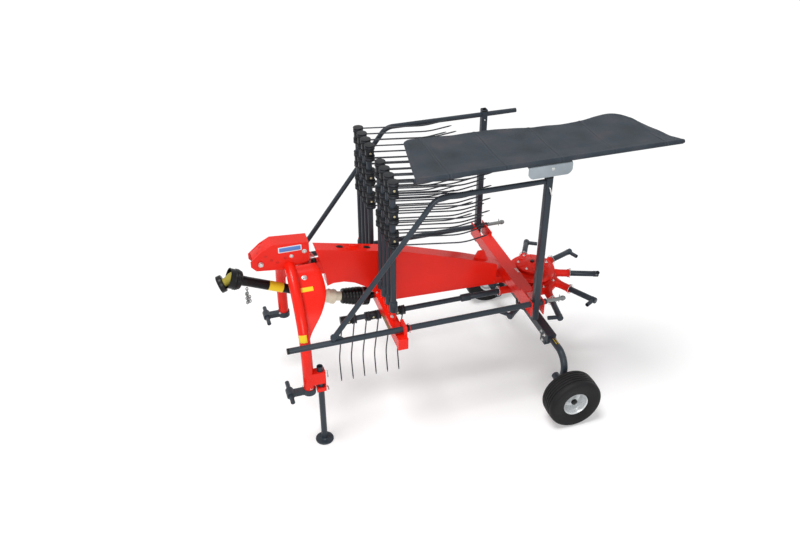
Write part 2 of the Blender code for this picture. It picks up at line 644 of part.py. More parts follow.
def build_headstock(body):
    """Arched tube with gussets and swivel lugs, the top link bracket and the kingpin."""
    points = [(ARCH_X, y, z) for y, z in ARCH_HALF] + [(ARCH_X, -y, z) for y, z in reversed(ARCH_HALF[:-1])]
    arch = tube("headstock_arch", points, ARCH_RADIUS)
    extras = []
    for name, side in SIDES.items():
        mesh = bpy.data.meshes.new("gusset")
        verts = [(x, side * y, z) for y, z, depth in GUSSET_ROWS for x in (ARCH_X, ARCH_X - depth)]
        faces = [(2 * i, 2 * i + 1, 2 * i + 3, 2 * i + 2) for i in range(len(GUSSET_ROWS) - 1)]
        mesh.from_pydata(verts, [], faces)
        gusset = link_mesh(f"{name}_gusset", mesh)
        sheet = gusset.modifiers.new("sheet", "SOLIDIFY")
        sheet.thickness = GUSSET_SHEET
        sheet.offset = 0.0
        extras.append(gusset)
    low_lug_top = SLEEVE_LOW - MOVE_GAP
    top_lug_low = SLEEVE_HIGH + MOVE_GAP
    extras.append(box("low_lug", (LUG_REAR_X, -LOW_LUG_HALF, low_lug_top - LUG_THICKNESS),
                      (LUG_FRONT_X, LOW_LUG_HALF, low_lug_top)))
    extras.append(box("top_lug", (LUG_REAR_X, -TOP_LUG_HALF, top_lug_low),
                      (LUG_FRONT_X, TOP_LUG_HALF, top_lug_low + LUG_THICKNESS)))
    arch = joined(arch, *extras)
    pin_low, pin_high = low_lug_top - LUG_THICKNESS - 0.01, top_lug_low + LUG_THICKNESS + 0.01
    holes = rod("pin_holes", (PIVOT_X, 0, pin_low - 0.05), (PIVOT_X, 0, pin_high + 0.05),
                KINGPIN_RADIUS + TOUCH_GAP, sides=24)
    finish(cut(arch, holes), "red_paint", body)

    kingpin = rod("kingpin", (PIVOT_X, 0, pin_low), (PIVOT_X, 0, pin_high), KINGPIN_RADIUS, sides=24)
    finish(kingpin, "zinc", body)

    rear_x, roof_x, nose_x = PIVOT_X - 0.038, PIVOT_X + 0.192, PIVOT_X + 0.332
    outline = [(rear_x, 1.318), (roof_x, 1.335), (nose_x - 0.075, 1.30), (nose_x, 1.235), (nose_x, 1.20),
               (nose_x - 0.03, 1.165), (PIVOT_X + 0.132, 1.145), (rear_x, 1.185)]
    bracket = plate("top_link_bracket", outline, 0.0, TOP_BRACKET_WIDTH)
    roof = [(rear_x - 0.085, 1.30), (rear_x + 0.015, 1.306), (roof_x, 1.323), (roof_x + 0.035, 1.31)]
    inner = roof + [(nose_x + 0.1, 1.31), (nose_x + 0.1, 1.05), (rear_x - 0.085, 1.05)]
    gap = plate("gap", inner, 0.0, TOP_BRACKET_WIDTH - 2 * TOP_BRACKET_WALL)
    arch_cut = tube("arch_cut", points, ARCH_RADIUS + 2 * TOUCH_GAP)
    half = TOP_BRACKET_WIDTH / 2
    pin_hole = rod("pin_hole", (TOP_PIN_X, -2 * half, TOP_PIN_Z), (TOP_PIN_X, 2 * half, TOP_PIN_Z),
                   TOP_PIN_RADIUS + TOUCH_GAP)
    finish(cut(bracket, gap, arch_cut, pin_hole), "red_paint", body)
    reach = half + TOP_PIN_REACH
    finish(rod("top_link_pin", (TOP_PIN_X, -reach, TOP_PIN_Z), (TOP_PIN_X, reach, TOP_PIN_Z), TOP_PIN_RADIUS),
           "zinc", body)


def build_hitch(name, side, body):
    """Foot bracket that carries the lower link pin."""
    foot_y = side * ARCH_FOOT_Y
    foot = rod(f"{name}_hitch_bracket", (ARCH_X, foot_y, ARCH_FOOT_Z - TOUCH_GAP),
               (ARCH_X, foot_y, ARCH_FOOT_Z - 0.04), HITCH_FOOT_RADIUS)
    inner, outer = sorted((foot_y - 0.022, foot_y + 0.022))
    arm = box("arm", (ARCH_X, inner, ARCH_FOOT_Z - 0.036), (HITCH_X + 0.02, outer, ARCH_FOOT_Z - 0.004))
    centre, reach = side * HITCH_Y, HITCH_PIN_LENGTH / 2
    pin = rod("pin", (HITCH_X, centre - reach, HITCH_Z), (HITCH_X, centre + reach, HITCH_Z), HITCH_PIN_RADIUS)
    shoulder = rod("shoulder", (HITCH_X, foot_y - 0.032, HITCH_Z), (HITCH_X, foot_y + 0.032, HITCH_Z), 0.026)
    finish(joined(foot, arm, pin, shoulder), "grey_paint", body)


def build_stand(headstock, body):
    """Sliding stand behind the left foot, guided by a sleeve and by a lug below it."""
    half = SLEEVE_WIDTH / 2
    low_z, high_z, lug_low, lug_high = 0.51, 0.60, 0.445, 0.475
    lug_front = ARCH_X - HITCH_FOOT_RADIUS - 0.003
    sleeve = box("stand_sleeve", (STAND_X - half, STAND_Y - half, low_z),
                 (ARCH_X + 0.004, STAND_Y + half, high_z))
    lug = box("lug", (STAND_X - half, STAND_Y - half, lug_low), (lug_front, STAND_Y + half, lug_high))
    back = box("back", (STAND_X - half, STAND_Y - half, lug_low),
               (STAND_X - half + 0.007, STAND_Y + half, high_z))
    hole = rod("hole", (STAND_X, STAND_Y, 0.4), (STAND_X, STAND_Y, 0.7), STAND_RADIUS + PIN_GAP, sides=24)
    arch_leg = tube("arch_leg", [(ARCH_X, y, z) for y, z in ARCH_HALF], ARCH_RADIUS + TOUCH_GAP)
    trim = box("trim", (ARCH_X, 0.3, 0.4), (ARCH_X + 0.1, 0.6, 0.7))
    finish(cut(joined(sleeve, lug, back), hole, arch_leg, trim), "red_paint", headstock)

    leg = rod("stand_leg", (STAND_X, STAND_Y, STAND_FOOT_THICKNESS / 2), (STAND_X, STAND_Y, STAND_TOP),
              STAND_RADIUS, sides=24)
    foot = rod("foot", (STAND_X, STAND_Y, 0), (STAND_X, STAND_Y, STAND_FOOT_THICKNESS),
               STAND_FOOT_RADIUS, sides=28)
    finish(joined(leg, foot), "grey_paint", body)


# ---------------------------------------------------------------- power take-off shaft
def build_pto(body):
    """Drive shaft through the headstock, from the clutch to the bell that plugs onto a tractor."""
    rear, front, nose, tail = (Vector(point) for point in (PTO_REAR, PTO_FRONT, PTO_NOSE, CLUTCH_REAR))
    along = (front - rear).normalized()
    back = (tail - rear).normalized()
    ahead = (nose - front).normalized()

    clutch_start = rear + back * 0.075
    clutch = rod("clutch_guard", clutch_start, tail, CLUTCH_RADIUS * 0.8, CLUTCH_RADIUS, sides=24)
    bar_face = FRONT_BAR_X + FRONT_BAR_WIDTH / 2 + TOUCH_GAP
    stub = rod("stub", (bar_face, 0, INPUT_SHAFT_Z), (tail.x + 0.02, 0, INPUT_SHAFT_Z), CLUTCH_STUB_RADIUS)
    finish(joined(clutch, stub), "black_plastic", body)
    yoke = rod("rear_yoke", rear + along * JOINT_REACH, rear - along * 0.03, 0.034, 0.045, sides=16)
    knuckle = rod("knuckle", rear, clutch_start - back * TOUCH_GAP, 0.036, 0.03, sides=16)
    finish(joined(yoke, knuckle), "yoke_cream", body)

    cone_start = front - along * PTO_CONE_LENGTH
    shaft = rod("pto_tube", rear + along * (JOINT_REACH + TOUCH_GAP), cone_start - along * TOUCH_GAP,
                PTO_TUBE_RADIUS, sides=20)
    finish(shaft, "black_plastic", body)
    guard = rod("pto_cone", cone_start, front, PTO_BELL_RADIUS * 0.9, PTO_BELL_RADIUS, sides=24)
    finish(guard, "black_plastic", body)

    bell = rod("pto_bell", front + ahead * 0.02 + along * TOUCH_GAP, nose,
               PTO_BELL_RADIUS * 0.75, PTO_BELL_RADIUS * 0.85, sides=24)
    floor = front + ahead * 0.045
    mouth = rod("mouth", floor, nose + ahead * 0.02, PTO_BELL_RADIUS * 0.68, PTO_BELL_RADIUS * 0.78, sides=24)
    behind = rod("behind", front - along * 0.2, front + along * 2 * TOUCH_GAP, 0.2, sides=24)
    finish(cut(bell, mouth, behind), "black_plastic", body)
    yoke = rod("pto_yoke", floor + ahead * TOUCH_GAP, nose - ahead * 0.012, PTO_YOKE_RADIUS, sides=18)
    finish(yoke, "yoke_cream", body)


# ---------------------------------------------------------------- assembly
for old in list(bpy.data.objects):
    bpy.data.objects.remove(old, do_unlink=True)

PARTS = make_collection("hay_rake")

root = make_empty("rake_origin", (0, 0, 0))
build_beam(root)
build_gearbox(root)
build_rear_crossbar(root)
build_front_crossbar(root)
build_chassis(root)
build_pto(root)
build_stowed_arms(root)

rotor = make_empty("rotor_axis", (0, 0, ARM_Z), root)
build_rotor(rotor)

for side_name, side_sign in SIDES.items():
    wheel = make_empty(f"{side_name}_wheel_axis", (0, side_sign * WHEEL_Y, TYRE_RADIUS), root)
    build_wheel(side_name, side_sign, wheel)
    guard_axis = make_empty(f"{side_name}_guard_axis", (0, side_sign * GUARD_Y, GUARD_Z), root)
    build_guard(side_name, side_sign, guard_axis)
    if side_sign > 0:
        build_curtain(guard_axis)

swivel = make_empty("swivel_axis", (PIVOT_X, 0, SLEEVE_LOW), root)
build_headstock(swivel)
for side_name, side_sign in SIDES.items():
    build_hitch(side_name, side_sign, swivel)
stand_axis = make_empty("stand_axis", (STAND_X, STAND_Y, 0), swivel)
build_stand(swivel, stand_axis)

bpy.context.view_layer.update()
corners = [piece.matrix_world @ Vector(corner) for piece in PARTS.objects if piece.type != "EMPTY"
           for corner in piece.bound_box]
root.location.x = -(min(corner.x for corner in corners) + max(corner.x for corner in corners)) / 2
bpy.context.view_layer.update()
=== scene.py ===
# %% [markdown]
# # A single rotor hay rake, parked with its guards folded up
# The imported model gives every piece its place. This script keeps that frame and rebuilds what shows:
# rounded sheet steel, ribbed tyres, spring tines, a drive shaft with a soft bell, and a rubbery curtain.
# Each step says what the real piece is, how it could be made in Blender, and why this way was taken.

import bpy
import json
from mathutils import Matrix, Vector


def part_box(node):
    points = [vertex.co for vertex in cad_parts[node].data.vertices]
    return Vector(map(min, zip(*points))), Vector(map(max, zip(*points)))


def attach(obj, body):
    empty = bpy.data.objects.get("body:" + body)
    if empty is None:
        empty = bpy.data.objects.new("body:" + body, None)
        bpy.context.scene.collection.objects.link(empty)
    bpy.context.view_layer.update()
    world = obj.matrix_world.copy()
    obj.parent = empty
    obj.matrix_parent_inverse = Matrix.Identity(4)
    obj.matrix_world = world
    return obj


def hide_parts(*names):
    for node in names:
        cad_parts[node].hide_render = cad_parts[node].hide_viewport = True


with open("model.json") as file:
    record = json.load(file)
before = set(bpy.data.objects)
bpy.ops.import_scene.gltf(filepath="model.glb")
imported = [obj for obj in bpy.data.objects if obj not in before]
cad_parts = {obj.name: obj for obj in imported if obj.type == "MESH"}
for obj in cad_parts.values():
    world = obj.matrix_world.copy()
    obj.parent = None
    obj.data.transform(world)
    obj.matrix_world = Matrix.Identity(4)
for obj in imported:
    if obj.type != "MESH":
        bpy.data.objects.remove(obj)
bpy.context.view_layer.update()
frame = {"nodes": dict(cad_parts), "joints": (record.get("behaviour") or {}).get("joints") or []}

import json
import math

import bmesh
import bpy
import numpy as np
from mathutils import Vector
from mathutils.bvhtree import BVHTree

# %% [markdown]
# ## Where things are
# The machine is drawn round its rotor: X runs forward from the rotor's axis, Y to the machine's left and
# Z up from the ground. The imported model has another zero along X, so one number carries every new mesh
# from the drawing to the model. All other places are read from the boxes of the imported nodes.

# %% Read the driving places
ROTOR_X = next(joint["pos_m"][0] for joint in frame["joints"] if joint["name"] == "rotor_spin")
ARM_Z = next(joint["pos_m"][2] for joint in frame["joints"] if joint["name"] == "rotor_spin")


def node_box(node):
    """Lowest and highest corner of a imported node, in the rotor's own coordinates."""
    low, high = (np.array(corner, float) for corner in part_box(node))
    low[0] -= ROTOR_X
    high[0] -= ROTOR_X
    return low, high


def node_middle(node):
    low, high = node_box(node)
    return (low + high) / 2


print("rotor's axis at x =", ROTOR_X, "and its arms at z =", ARM_Z)

# %% [markdown]
# ## Meshes from numpy
# A machine is mostly tubes, turned parts and folded sheet. Each is one outline carried along a line, so one
# function that joins neighbouring rings makes them all. Rings are whole arrays; no vertex is placed by hand.


# %% Rings, sections and frames
def loft(rings, closed=False, caps=True):
    """Skin over rings: point j of ring i joins point j of ring i + 1; flat caps close both ends."""
    rings = np.asarray(rings, float)
    count, width = rings.shape[:2]
    grid = np.arange(count * width).reshape(count, width)
    first = grid if closed else grid[:-1]
    second = np.roll(grid, -1, axis=0) if closed else grid[1:]
    quads = np.stack([first, np.roll(first, -1, 1), np.roll(second, -1, 1), second], -1).reshape(-1, 4)
    faces = quads.tolist()
    if caps and not closed:
        faces += [grid[0, ::-1].tolist(), grid[-1].tolist()]
    return rings.reshape(-1, 3), faces


def unit(vectors):
    vectors = np.asarray(vectors, float)
    return vectors / np.linalg.norm(vectors, axis=-1, keepdims=True)


def across(along, hint):
    """Two directions square to a line: side = hint x along, and up = along x side."""
    side = unit(np.cross(hint, along))
    return side, np.cross(along, side)


def circle(radius, sides=24):
    """Points (r cos a, r sin a) round a circle."""
    angle = np.linspace(0, math.tau, sides, endpoint=False)
    return radius * np.stack([np.cos(angle), np.sin(angle)], -1)


def rounded_box(width, height, radius, steps=3):
    """A rectangle whose corners are quarter circles: corner centre + radius (cos a, sin a)."""
    angle = (np.arange(4)[:, None] * 90 + np.linspace(0, 90, steps + 1)[None, :]) * math.pi / 180
    turn = np.stack([np.cos(angle), np.sin(angle)], -1)
    centres = np.array([[1, 1], [-1, 1], [-1, -1], [1, -1]]) * [width / 2 - radius, height / 2 - radius]
    return (centres[:, None] + radius * turn).reshape(-1, 2)


def superellipse(width, height, power, sides):
    """Rings (w sgn(cos a) |cos a|^p, h sgn(sin a) |sin a|^p): square where p is small, round where p is 1."""
    turn = np.linspace(0, math.tau, sides, endpoint=False)[None]
    return (width * np.sign(np.cos(turn)) * np.abs(np.cos(turn)) ** power,
            height * np.sign(np.sin(turn)) * np.abs(np.sin(turn)) ** power)


def polar(radius, angle, z):
    """A point at a radius and an angle round the rotor's axis."""
    return radius * math.cos(angle), radius * math.sin(angle), z


def join(*parts):
    """Several meshes as one, with the face numbers of each moved past those before it."""
    points, faces, start = [], [], 0
    for part_points, part_faces in parts:
        points.append(part_points)
        faces += [[index + start for index in face] for face in part_faces]
        start += len(part_points)
    return np.concatenate(points), faces


def mirrored(part):
    """The same part on the machine's other side: y changes sign and every face turns round."""
    points, faces = part
    return points * [1, -1, 1], [face[::-1] for face in faces]


print("sections:", circle(1).shape, rounded_box(1, 1, 0.1).shape)


# %% Bars, turned parts and tubes
def solid(section, stations, start, direction, hint=(0, 0, 1)):
    """A section carried along a straight line; each station is (distance, scale of the section)."""
    along = unit(direction)
    if abs(along @ unit(hint)) > 0.95:
        hint = (1, 0, 0)
    side, up = across(along, hint)
    stations = np.asarray(stations, float)
    flat = section[None] * stations[:, 1, None, None]
    centres = np.asarray(start, float) + stations[:, :1] * along
    return loft(centres[:, None] + flat[..., :1] * side + flat[..., 1:] * up)


def turned(profile, start, direction, sides=48, closed=False):
    """A profile of (radius, distance) rows turned round a line: centre + radius (side cos a + up sin a)."""
    along = unit(direction)
    side, up = across(along, (0, 0, 1) if abs(along[2]) < 0.9 else (1, 0, 0))
    profile = np.asarray(profile, float)
    flat = circle(1.0, sides)
    spoke = flat[:, :1] * side + flat[:, 1:] * up
    centres = np.asarray(start, float) + profile[:, 1:] * along
    return loft(centres[:, None] + profile[:, :1, None] * spoke[None], closed)


def swept(path, radius, sides=16, hint=(0, 1, 0), section=None):
    """A section carried along a curved path, square to the path's own direction at each station."""
    path = np.asarray(path, float)
    side, up = across(unit(np.gradient(path, axis=0)), hint)
    flat = circle(1.0, sides) if section is None else section
    size = np.broadcast_to(radius, len(path))[:, None, None]
    return loft(path[:, None] + size * (flat[None, :, :1] * side[:, None] + flat[None, :, 1:] * up[:, None]))


def rounded_bar(length, edge=0.0015):
    """Stations of a straight bar whose ends have a small chamfer."""
    return [(0, 0.93), (edge, 1.0), (length - edge, 1.0), (length, 0.93)]


def bar(section, start, end, hint=(0, 0, 1), edge=0.0015):
    """A straight bar between two points."""
    length = float(np.linalg.norm(np.subtract(end, start)))
    return solid(section, rounded_bar(length, edge), start, np.subtract(end, start), hint)


def arc_path(points, radius, steps=10, straight=6):
    """Straight runs joined by arcs: each corner becomes points at `radius` from the arc's centre."""
    points = np.asarray(points, float)
    path = [points[:1]]
    for before, corner, after in zip(points, points[1:], points[2:]):
        back, ahead = unit(before - corner), unit(after - corner)
        half = math.acos(np.clip(back @ ahead, -1, 1)) / 2
        centre = corner + unit(back + ahead) * radius / math.sin(half)
        first = corner + back * radius / math.tan(half) - centre
        last = corner + ahead * radius / math.tan(half) - centre
        share = np.linspace(0, 1, steps + 1)[:, None]
        run = np.linspace(path[-1][-1], centre + first, straight, endpoint=False)[1:]
        path += [run, centre + radius * unit(first * (1 - share) + last * share)]
    path.append(np.linspace(path[-1][-1], points[-1], straight)[1:])
    return np.concatenate(path)


def spline(points, steps=8):
    """A smooth curve through points: each span is the cubic whose end slopes are half the neighbours' gap."""
    points = np.asarray(points, float)
    slope = np.gradient(points, axis=0)[:, None]
    t = np.linspace(0, 1, steps, endpoint=False)[None, :, None]
    start, end = points[:-1, None], points[1:, None]
    curve = ((2 * t**3 - 3 * t**2 + 1) * start + (t**3 - 2 * t**2 + t) * slope[:-1]
             + (3 * t**2 - 2 * t**3) * end + (t**3 - t**2) * slope[1:])
    return np.concatenate([curve.reshape(-1, points.shape[1]), points[-1:]])


print("a tube of 24 stations has", len(swept(np.linspace([0, 0, 0], [1, 0, 0], 24), 0.01)[0]), "points")

# %% [markdown]
# ## Fasteners
# Bolts, washers and split pins are what tell the eye how big a machine is. A bolt is a hexagon carried over
# four stations, so that its head has a chamfer, on a thin washer. The same function makes every bolt.


# %% Bolts and clips
def bolt(place, direction, size=0.010, shank=0.006):
    """Hexagon head across `size`, on a washer, with a short threaded end."""
    along = unit(direction)
    place = np.asarray(place, float)
    washer = solid(circle(size * 0.95, 20), [(-0.001, 1.0), (0.0014, 1.0), (0.002, 0.95)], place, along)
    head = solid(circle(size * 0.62, 6), [(0.0015, 1.0), (size * 0.55, 1.0), (size * 0.66, 0.82)],
                 place, along)
    end = solid(circle(size * 0.3, 12), [(0.002, 1.0), (size * 0.7 + shank, 1.0), (size * 0.8 + shank, 0.7)],
                place, along)
    return join(washer, head, end)


def ring(centre, direction, radius, wire, sides=28):
    """A wire ring: a circle of points, each carrying a smaller circle of wire."""
    along = unit(direction)
    side, up = across(along, (0, 0, 1) if abs(along[2]) < 0.9 else (1, 0, 0))
    angle = np.linspace(0, math.tau, sides, endpoint=False)[:, None]
    spoke = np.cos(angle) * side + np.sin(angle) * up
    flat = circle(wire, 8)
    points = (np.asarray(centre, float) + radius * spoke)[:, None] + flat[None, :, :1] * spoke[:, None] \
        + flat[None, :, 1:] * along
    return loft(points[::-1], closed=True)


print("a bolt has", len(bolt((0, 0, 0), (0, 0, 1))[0]), "points")

# %% [markdown]
# ## Finishes
# Every material starts from one recipe: a colour that drifts slowly over the piece, a fine bump, a roughness
# that varies, and lighter worn edges. Edges come from the Bevel node, which rounds the shading normal where
# faces meet: where it differs from the true normal there is an edge. All patterns read Object coordinates.


# %% One recipe for paint, metal, rubber and plastic
def make_finish(name, colour, roughness, metallic=0.0, drift=0.10, grain=60.0, bump=0.06, edge=0.0015,
                wear=0.25, worn=(0.35, 0.34, 0.33), coat=0.0, dust=0.0, gloss=0.2):
    """Principled shader: noise mixes two shades, the edge mask adds wear, fine noise bumps the surface."""
    material = bpy.data.materials.new(name)
    material.use_nodes = True
    nodes, links = material.node_tree.nodes, material.node_tree.links
    shader = nodes["Principled BSDF"]
    shader.inputs["Metallic"].default_value = metallic
    shader.inputs["Specular IOR Level"].default_value = gloss
    shader.inputs["Coat Weight"].default_value = coat
    shader.inputs["Coat Roughness"].default_value = 0.12
    place = nodes.new("ShaderNodeTexCoord").outputs["Object"]

    def noise(scale, detail=3.0, rough=0.55):
        node = nodes.new("ShaderNodeTexNoise")
        node.inputs["Scale"].default_value = scale
        node.inputs["Detail"].default_value = detail
        node.inputs["Roughness"].default_value = rough
        links.new(place, node.inputs["Vector"])
        return node.outputs["Fac"]

    def spread(value, low, high, to_low=0.0, to_high=1.0):
        node = nodes.new("ShaderNodeMapRange")
        node.inputs["From Min"].default_value = low
        node.inputs["From Max"].default_value = high
        node.inputs["To Min"].default_value = to_low
        node.inputs["To Max"].default_value = to_high
        links.new(value, node.inputs["Value"])
        return node.outputs["Result"]

    def blend(factor, first, second):
        node = nodes.new("ShaderNodeMix")
        node.data_type = "RGBA"
        links.new(factor, node.inputs["Factor"])
        for socket, value in ((node.inputs[6], first), (node.inputs[7], second)):
            if isinstance(value, tuple):
                socket.default_value = (*value, 1.0)
            else:
                links.new(value, socket)
        return node.outputs[2]

    def multiply(first, second):
        node = nodes.new("ShaderNodeMath")
        node.operation = "MULTIPLY"
        links.new(first, node.inputs[0])
        links.new(second, node.inputs[1])
        return node.outputs[0]

    dark = tuple(channel * (1 - drift) for channel in colour)
    light = tuple(min(1.0, channel * (1 + drift)) for channel in colour)
    shade = blend(spread(noise(4.0), 0.35, 0.65), dark, light)
    fine = noise(grain, 5.0)

    bevel = nodes.new("ShaderNodeBevel")
    bevel.samples = 4
    bevel.inputs["Radius"].default_value = edge
    geometry = nodes.new("ShaderNodeNewGeometry")
    same = nodes.new("ShaderNodeVectorMath")
    same.operation = "DOT_PRODUCT"
    links.new(bevel.outputs["Normal"], same.inputs[0])
    links.new(geometry.outputs["True Normal"], same.inputs[1])
    edge_mask = spread(same.outputs["Value"], 0.97, 0.80, 0.0, wear)
    shade = blend(multiply(edge_mask, spread(noise(35.0), 0.45, 0.6)), shade, worn)
    if dust:
        facing = nodes.new("ShaderNodeSeparateXYZ")
        links.new(geometry.outputs["Normal"], facing.inputs["Vector"])
        film = multiply(spread(facing.outputs["Z"], 0.3, 1.0, 0.0, dust), spread(noise(9.0), 0.4, 0.7))
        shade = blend(film, shade, (0.42, 0.39, 0.34))
    links.new(shade, shader.inputs["Base Color"])
    links.new(spread(fine, 0.3, 0.7, roughness * 0.8, min(1.0, roughness * 1.2)), shader.inputs["Roughness"])

    height = nodes.new("ShaderNodeBump")
    height.inputs["Strength"].default_value = bump
    height.inputs["Distance"].default_value = 0.0004
    links.new(fine, height.inputs["Height"])
    links.new(bevel.outputs["Normal"], height.inputs["Normal"])
    links.new(height.outputs["Normal"], shader.inputs["Normal"])
    return material


RECIPES = {
    "red_paint": ((0.82, 0.014, 0.005), 0.26, dict(
        drift=0.05, grain=220, coat=0.05, wear=0.10, worn=(0.9, 0.14, 0.08), gloss=0.22)),
    "red_casting": ((0.74, 0.016, 0.007), 0.42,
                    dict(grain=110, bump=0.35, wear=0.15, worn=(0.85, 0.16, 0.10))),
    "slate_paint": ((0.029, 0.039, 0.051), 0.34, dict(
        grain=200, coat=0.05, wear=0.2, worn=(0.14, 0.16, 0.18), dust=0.03)),
    "black_plastic": ((0.007, 0.007, 0.008), 0.32, dict(
        drift=0.15, grain=260, bump=0.12, wear=0.15, worn=(0.05, 0.05, 0.05))),
    "holder_black": ((0.011, 0.013, 0.016), 0.45, dict(
        drift=0.2, grain=180, bump=0.2, wear=0.35, worn=(0.10, 0.10, 0.10), dust=0.04)),
    "tyre_rubber": ((0.013, 0.013, 0.014), 0.52, dict(
        drift=0.2, grain=120, bump=0.25, wear=0.1, worn=(0.05, 0.05, 0.05), dust=0.02, gloss=0.12)),
    "spring_steel": ((0.040, 0.044, 0.052), 0.36, dict(metallic=0.3, drift=0.15, grain=300, wear=0.0)),
    "zinc": ((0.55, 0.56, 0.55), 0.30, dict(
        metallic=0.85, drift=0.15, grain=90, bump=0.1, wear=0.1, worn=(0.8, 0.8, 0.8))),
    "bare_steel": ((0.20, 0.21, 0.21), 0.34, dict(metallic=0.75, drift=0.25, grain=70, bump=0.15, wear=0.2)),
    "yellow_zinc": ((0.55, 0.48, 0.30), 0.35, dict(metallic=0.6, drift=0.2, grain=120)),
    "galvanised": ((0.30, 0.34, 0.37), 0.36, dict(
        metallic=0.45, drift=0.18, grain=40, bump=0.1, wear=0.3, worn=(0.65, 0.67, 0.68))),
    "rim_silver": ((0.68, 0.70, 0.71), 0.30, dict(
        metallic=0.45, drift=0.05, grain=200, coat=0.1, wear=0.15, worn=(0.75, 0.75, 0.75))),
    "cream_plastic": ((0.72, 0.68, 0.53), 0.45, dict(drift=0.08, grain=150)),
    "joint_yellow": ((0.36, 0.30, 0.045), 0.42, dict(drift=0.18, grain=150)),
    "label_yellow": ((0.85, 0.62, 0.03), 0.35, dict(drift=0.05, grain=200, wear=0.3)),
    "label_blue": ((0.10, 0.22, 0.56), 0.3, dict(drift=0.12, grain=200, wear=0.3)),
    "label_white": ((0.80, 0.82, 0.84), 0.3, dict(drift=0.04, grain=200, wear=0.3)),
    # the next finish is a painted reflection: an ochre that stands for the floor mirrored in the front
    # crossbar's channel, with painted shade
    "ochre_painted_reflection": ((0.25, 0.14, 0.025), 0.45, dict(drift=0.25, grain=60, bump=0.2)),
}
FINISHES = {name: make_finish(name, colour, roughness, **rest)
            for name, (colour, roughness, rest) in RECIPES.items()}
print(len(FINISHES), "finishes")

# %% [markdown]
# ## Putting a piece in the scene
# A piece's object stays at the origin and its place is in its mesh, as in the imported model. It rides on the
# body that carries it, takes the finish, and hides the plain nodes that it stands for.

# %% Add a piece
TALLY = {"pieces": 0, "faces": 0}
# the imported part's colour slot for each finish whose name differs from its slot
SLOTS = {"red_casting": "red_paint", "holder_black": "black_plastic", "tyre_rubber": "tyre",
         "cloth": "curtain_cloth"}
# the ochre of the crossbar's painted reflection shares the grey slot
SLOTS |= dict.fromkeys(("slate_paint", "spring_steel", "ochre_painted_reflection"), "grey_paint")
SLOTS |= dict.fromkeys(("yellow_zinc", "galvanised", "bare_steel"), "zinc")
SLOTS |= dict.fromkeys(("cream_plastic", "joint_yellow", "label_yellow", "label_blue", "label_white"),
                       "cream_paint")
SMOOTH_ANGLE = math.radians(38)             # faces that meet at more than this keep a sharp edge


def new_object(name, data):
    """An object in the scene's own collection."""
    thing = bpy.data.objects.new(name, data)
    bpy.context.scene.collection.objects.link(thing)
    return thing


def new_mesh(name, points, faces):
    """A mesh of points and faces, slid from the drawing's zero to the model's."""
    mesh = bpy.data.meshes.new(name)
    mesh.from_pydata((points + [ROTOR_X, 0, 0]).tolist(), [], faces)
    return mesh


def settle_in(piece, finish, body, stands_for):
    """Shading, finish, body and replaced nodes of a piece."""
    piece.data.materials.clear()
    piece.data.materials.append(FINISHES[finish])
    piece.data.shade_smooth()
    piece.data.set_sharp_from_angle(angle=SMOOTH_ANGLE)
    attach(piece, body)
    if stands_for:
        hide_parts(*stands_for)
    TALLY["pieces"] += 1
    TALLY["faces"] += len(piece.data.polygons)
    return piece


def add_piece(name, part, finish, body="frame", stands_for=()):
    """A part's points and faces as a piece of the scene."""
    return settle_in(new_object(name, new_mesh(name, *part)), finish, body, stands_for)


def add_pair(name, part, finish, body="frame", stands_for=None):
    """The same piece on both sides. A body or node whose name has SIDE in it is the left or right one."""
    for side, shape in (("left", part), ("right", mirrored(part))):
        nodes = [stands_for.replace("SIDE", side)] if stands_for else ()
        add_piece(f"{side}_{name}", shape, finish, body.replace("SIDE", side), nodes)


# %% [markdown]
# ## Welded and folded steel
# The beam, crossbars, gearbox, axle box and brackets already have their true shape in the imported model, but
# every edge there is knife sharp. A copy is merged into one skin, its flat triangles are dissolved, and a
# narrow Bevel rounds the edges, which is what bent sheet and thick paint look like.


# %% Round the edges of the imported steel
MERGE_GAP = 0.00005                         # corners closer than this are one corner
FLAT_ANGLE, BEVEL_ANGLE = math.radians(1.0), math.radians(35)


def rounded_copy(node, finish, body, width=0.002, segments=2):
    """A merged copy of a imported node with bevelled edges."""
    mesh = frame["nodes"][node].data.copy()
    shape = bmesh.new()
    shape.from_mesh(mesh)
    bmesh.ops.remove_doubles(shape, verts=shape.verts, dist=MERGE_GAP)
    bmesh.ops.dissolve_limit(shape, angle_limit=FLAT_ANGLE, verts=shape.verts, edges=shape.edges)
    shape.to_mesh(mesh)
    shape.free()
    piece = new_object(f"{node}_steel", mesh)
    bevel = piece.modifiers.new("rounded edges", "BEVEL")
    bevel.width = width
    bevel.segments = segments
    bevel.limit_method = "ANGLE"
    bevel.angle_limit = BEVEL_ANGLE
    return settle_in(piece, finish, body, [node])


for node, finish, body, width in (
    ("main_beam", "red_paint", "frame", 0.0035), ("rear_crossbar", "red_paint", "frame", 0.002),
    ("front_crossbar", "red_paint", "frame", 0.0025), ("gearbox", "red_casting", "frame", 0.004),
    ("axle_box", "slate_paint", "frame", 0.003), ("input_shaft", "slate_paint", "frame", 0.001),
    ("top_link_bracket", "red_paint", "headstock", 0.002), ("kingpin", "zinc", "headstock", 0.002),
    ("top_link_pin", "zinc", "headstock", 0.0015), ("left_hitch_bracket", "slate_paint", "headstock", 0.003),
    ("right_hitch_bracket", "slate_paint", "headstock", 0.003),
    ("stand_sleeve", "red_paint", "headstock", 0.002),
):
    rounded_copy(node, finish, body, width)
print("rounded", TALLY["pieces"], "pieces of steel")

# %% [markdown]
# ## Wheels
# Ribbed implement tyres on pressed steel rims. One profile is turned round the axle: a bulging sidewall, a
# round shoulder as a quarter ellipse, and a crowned tread from which smooth pulses cut the grooves.

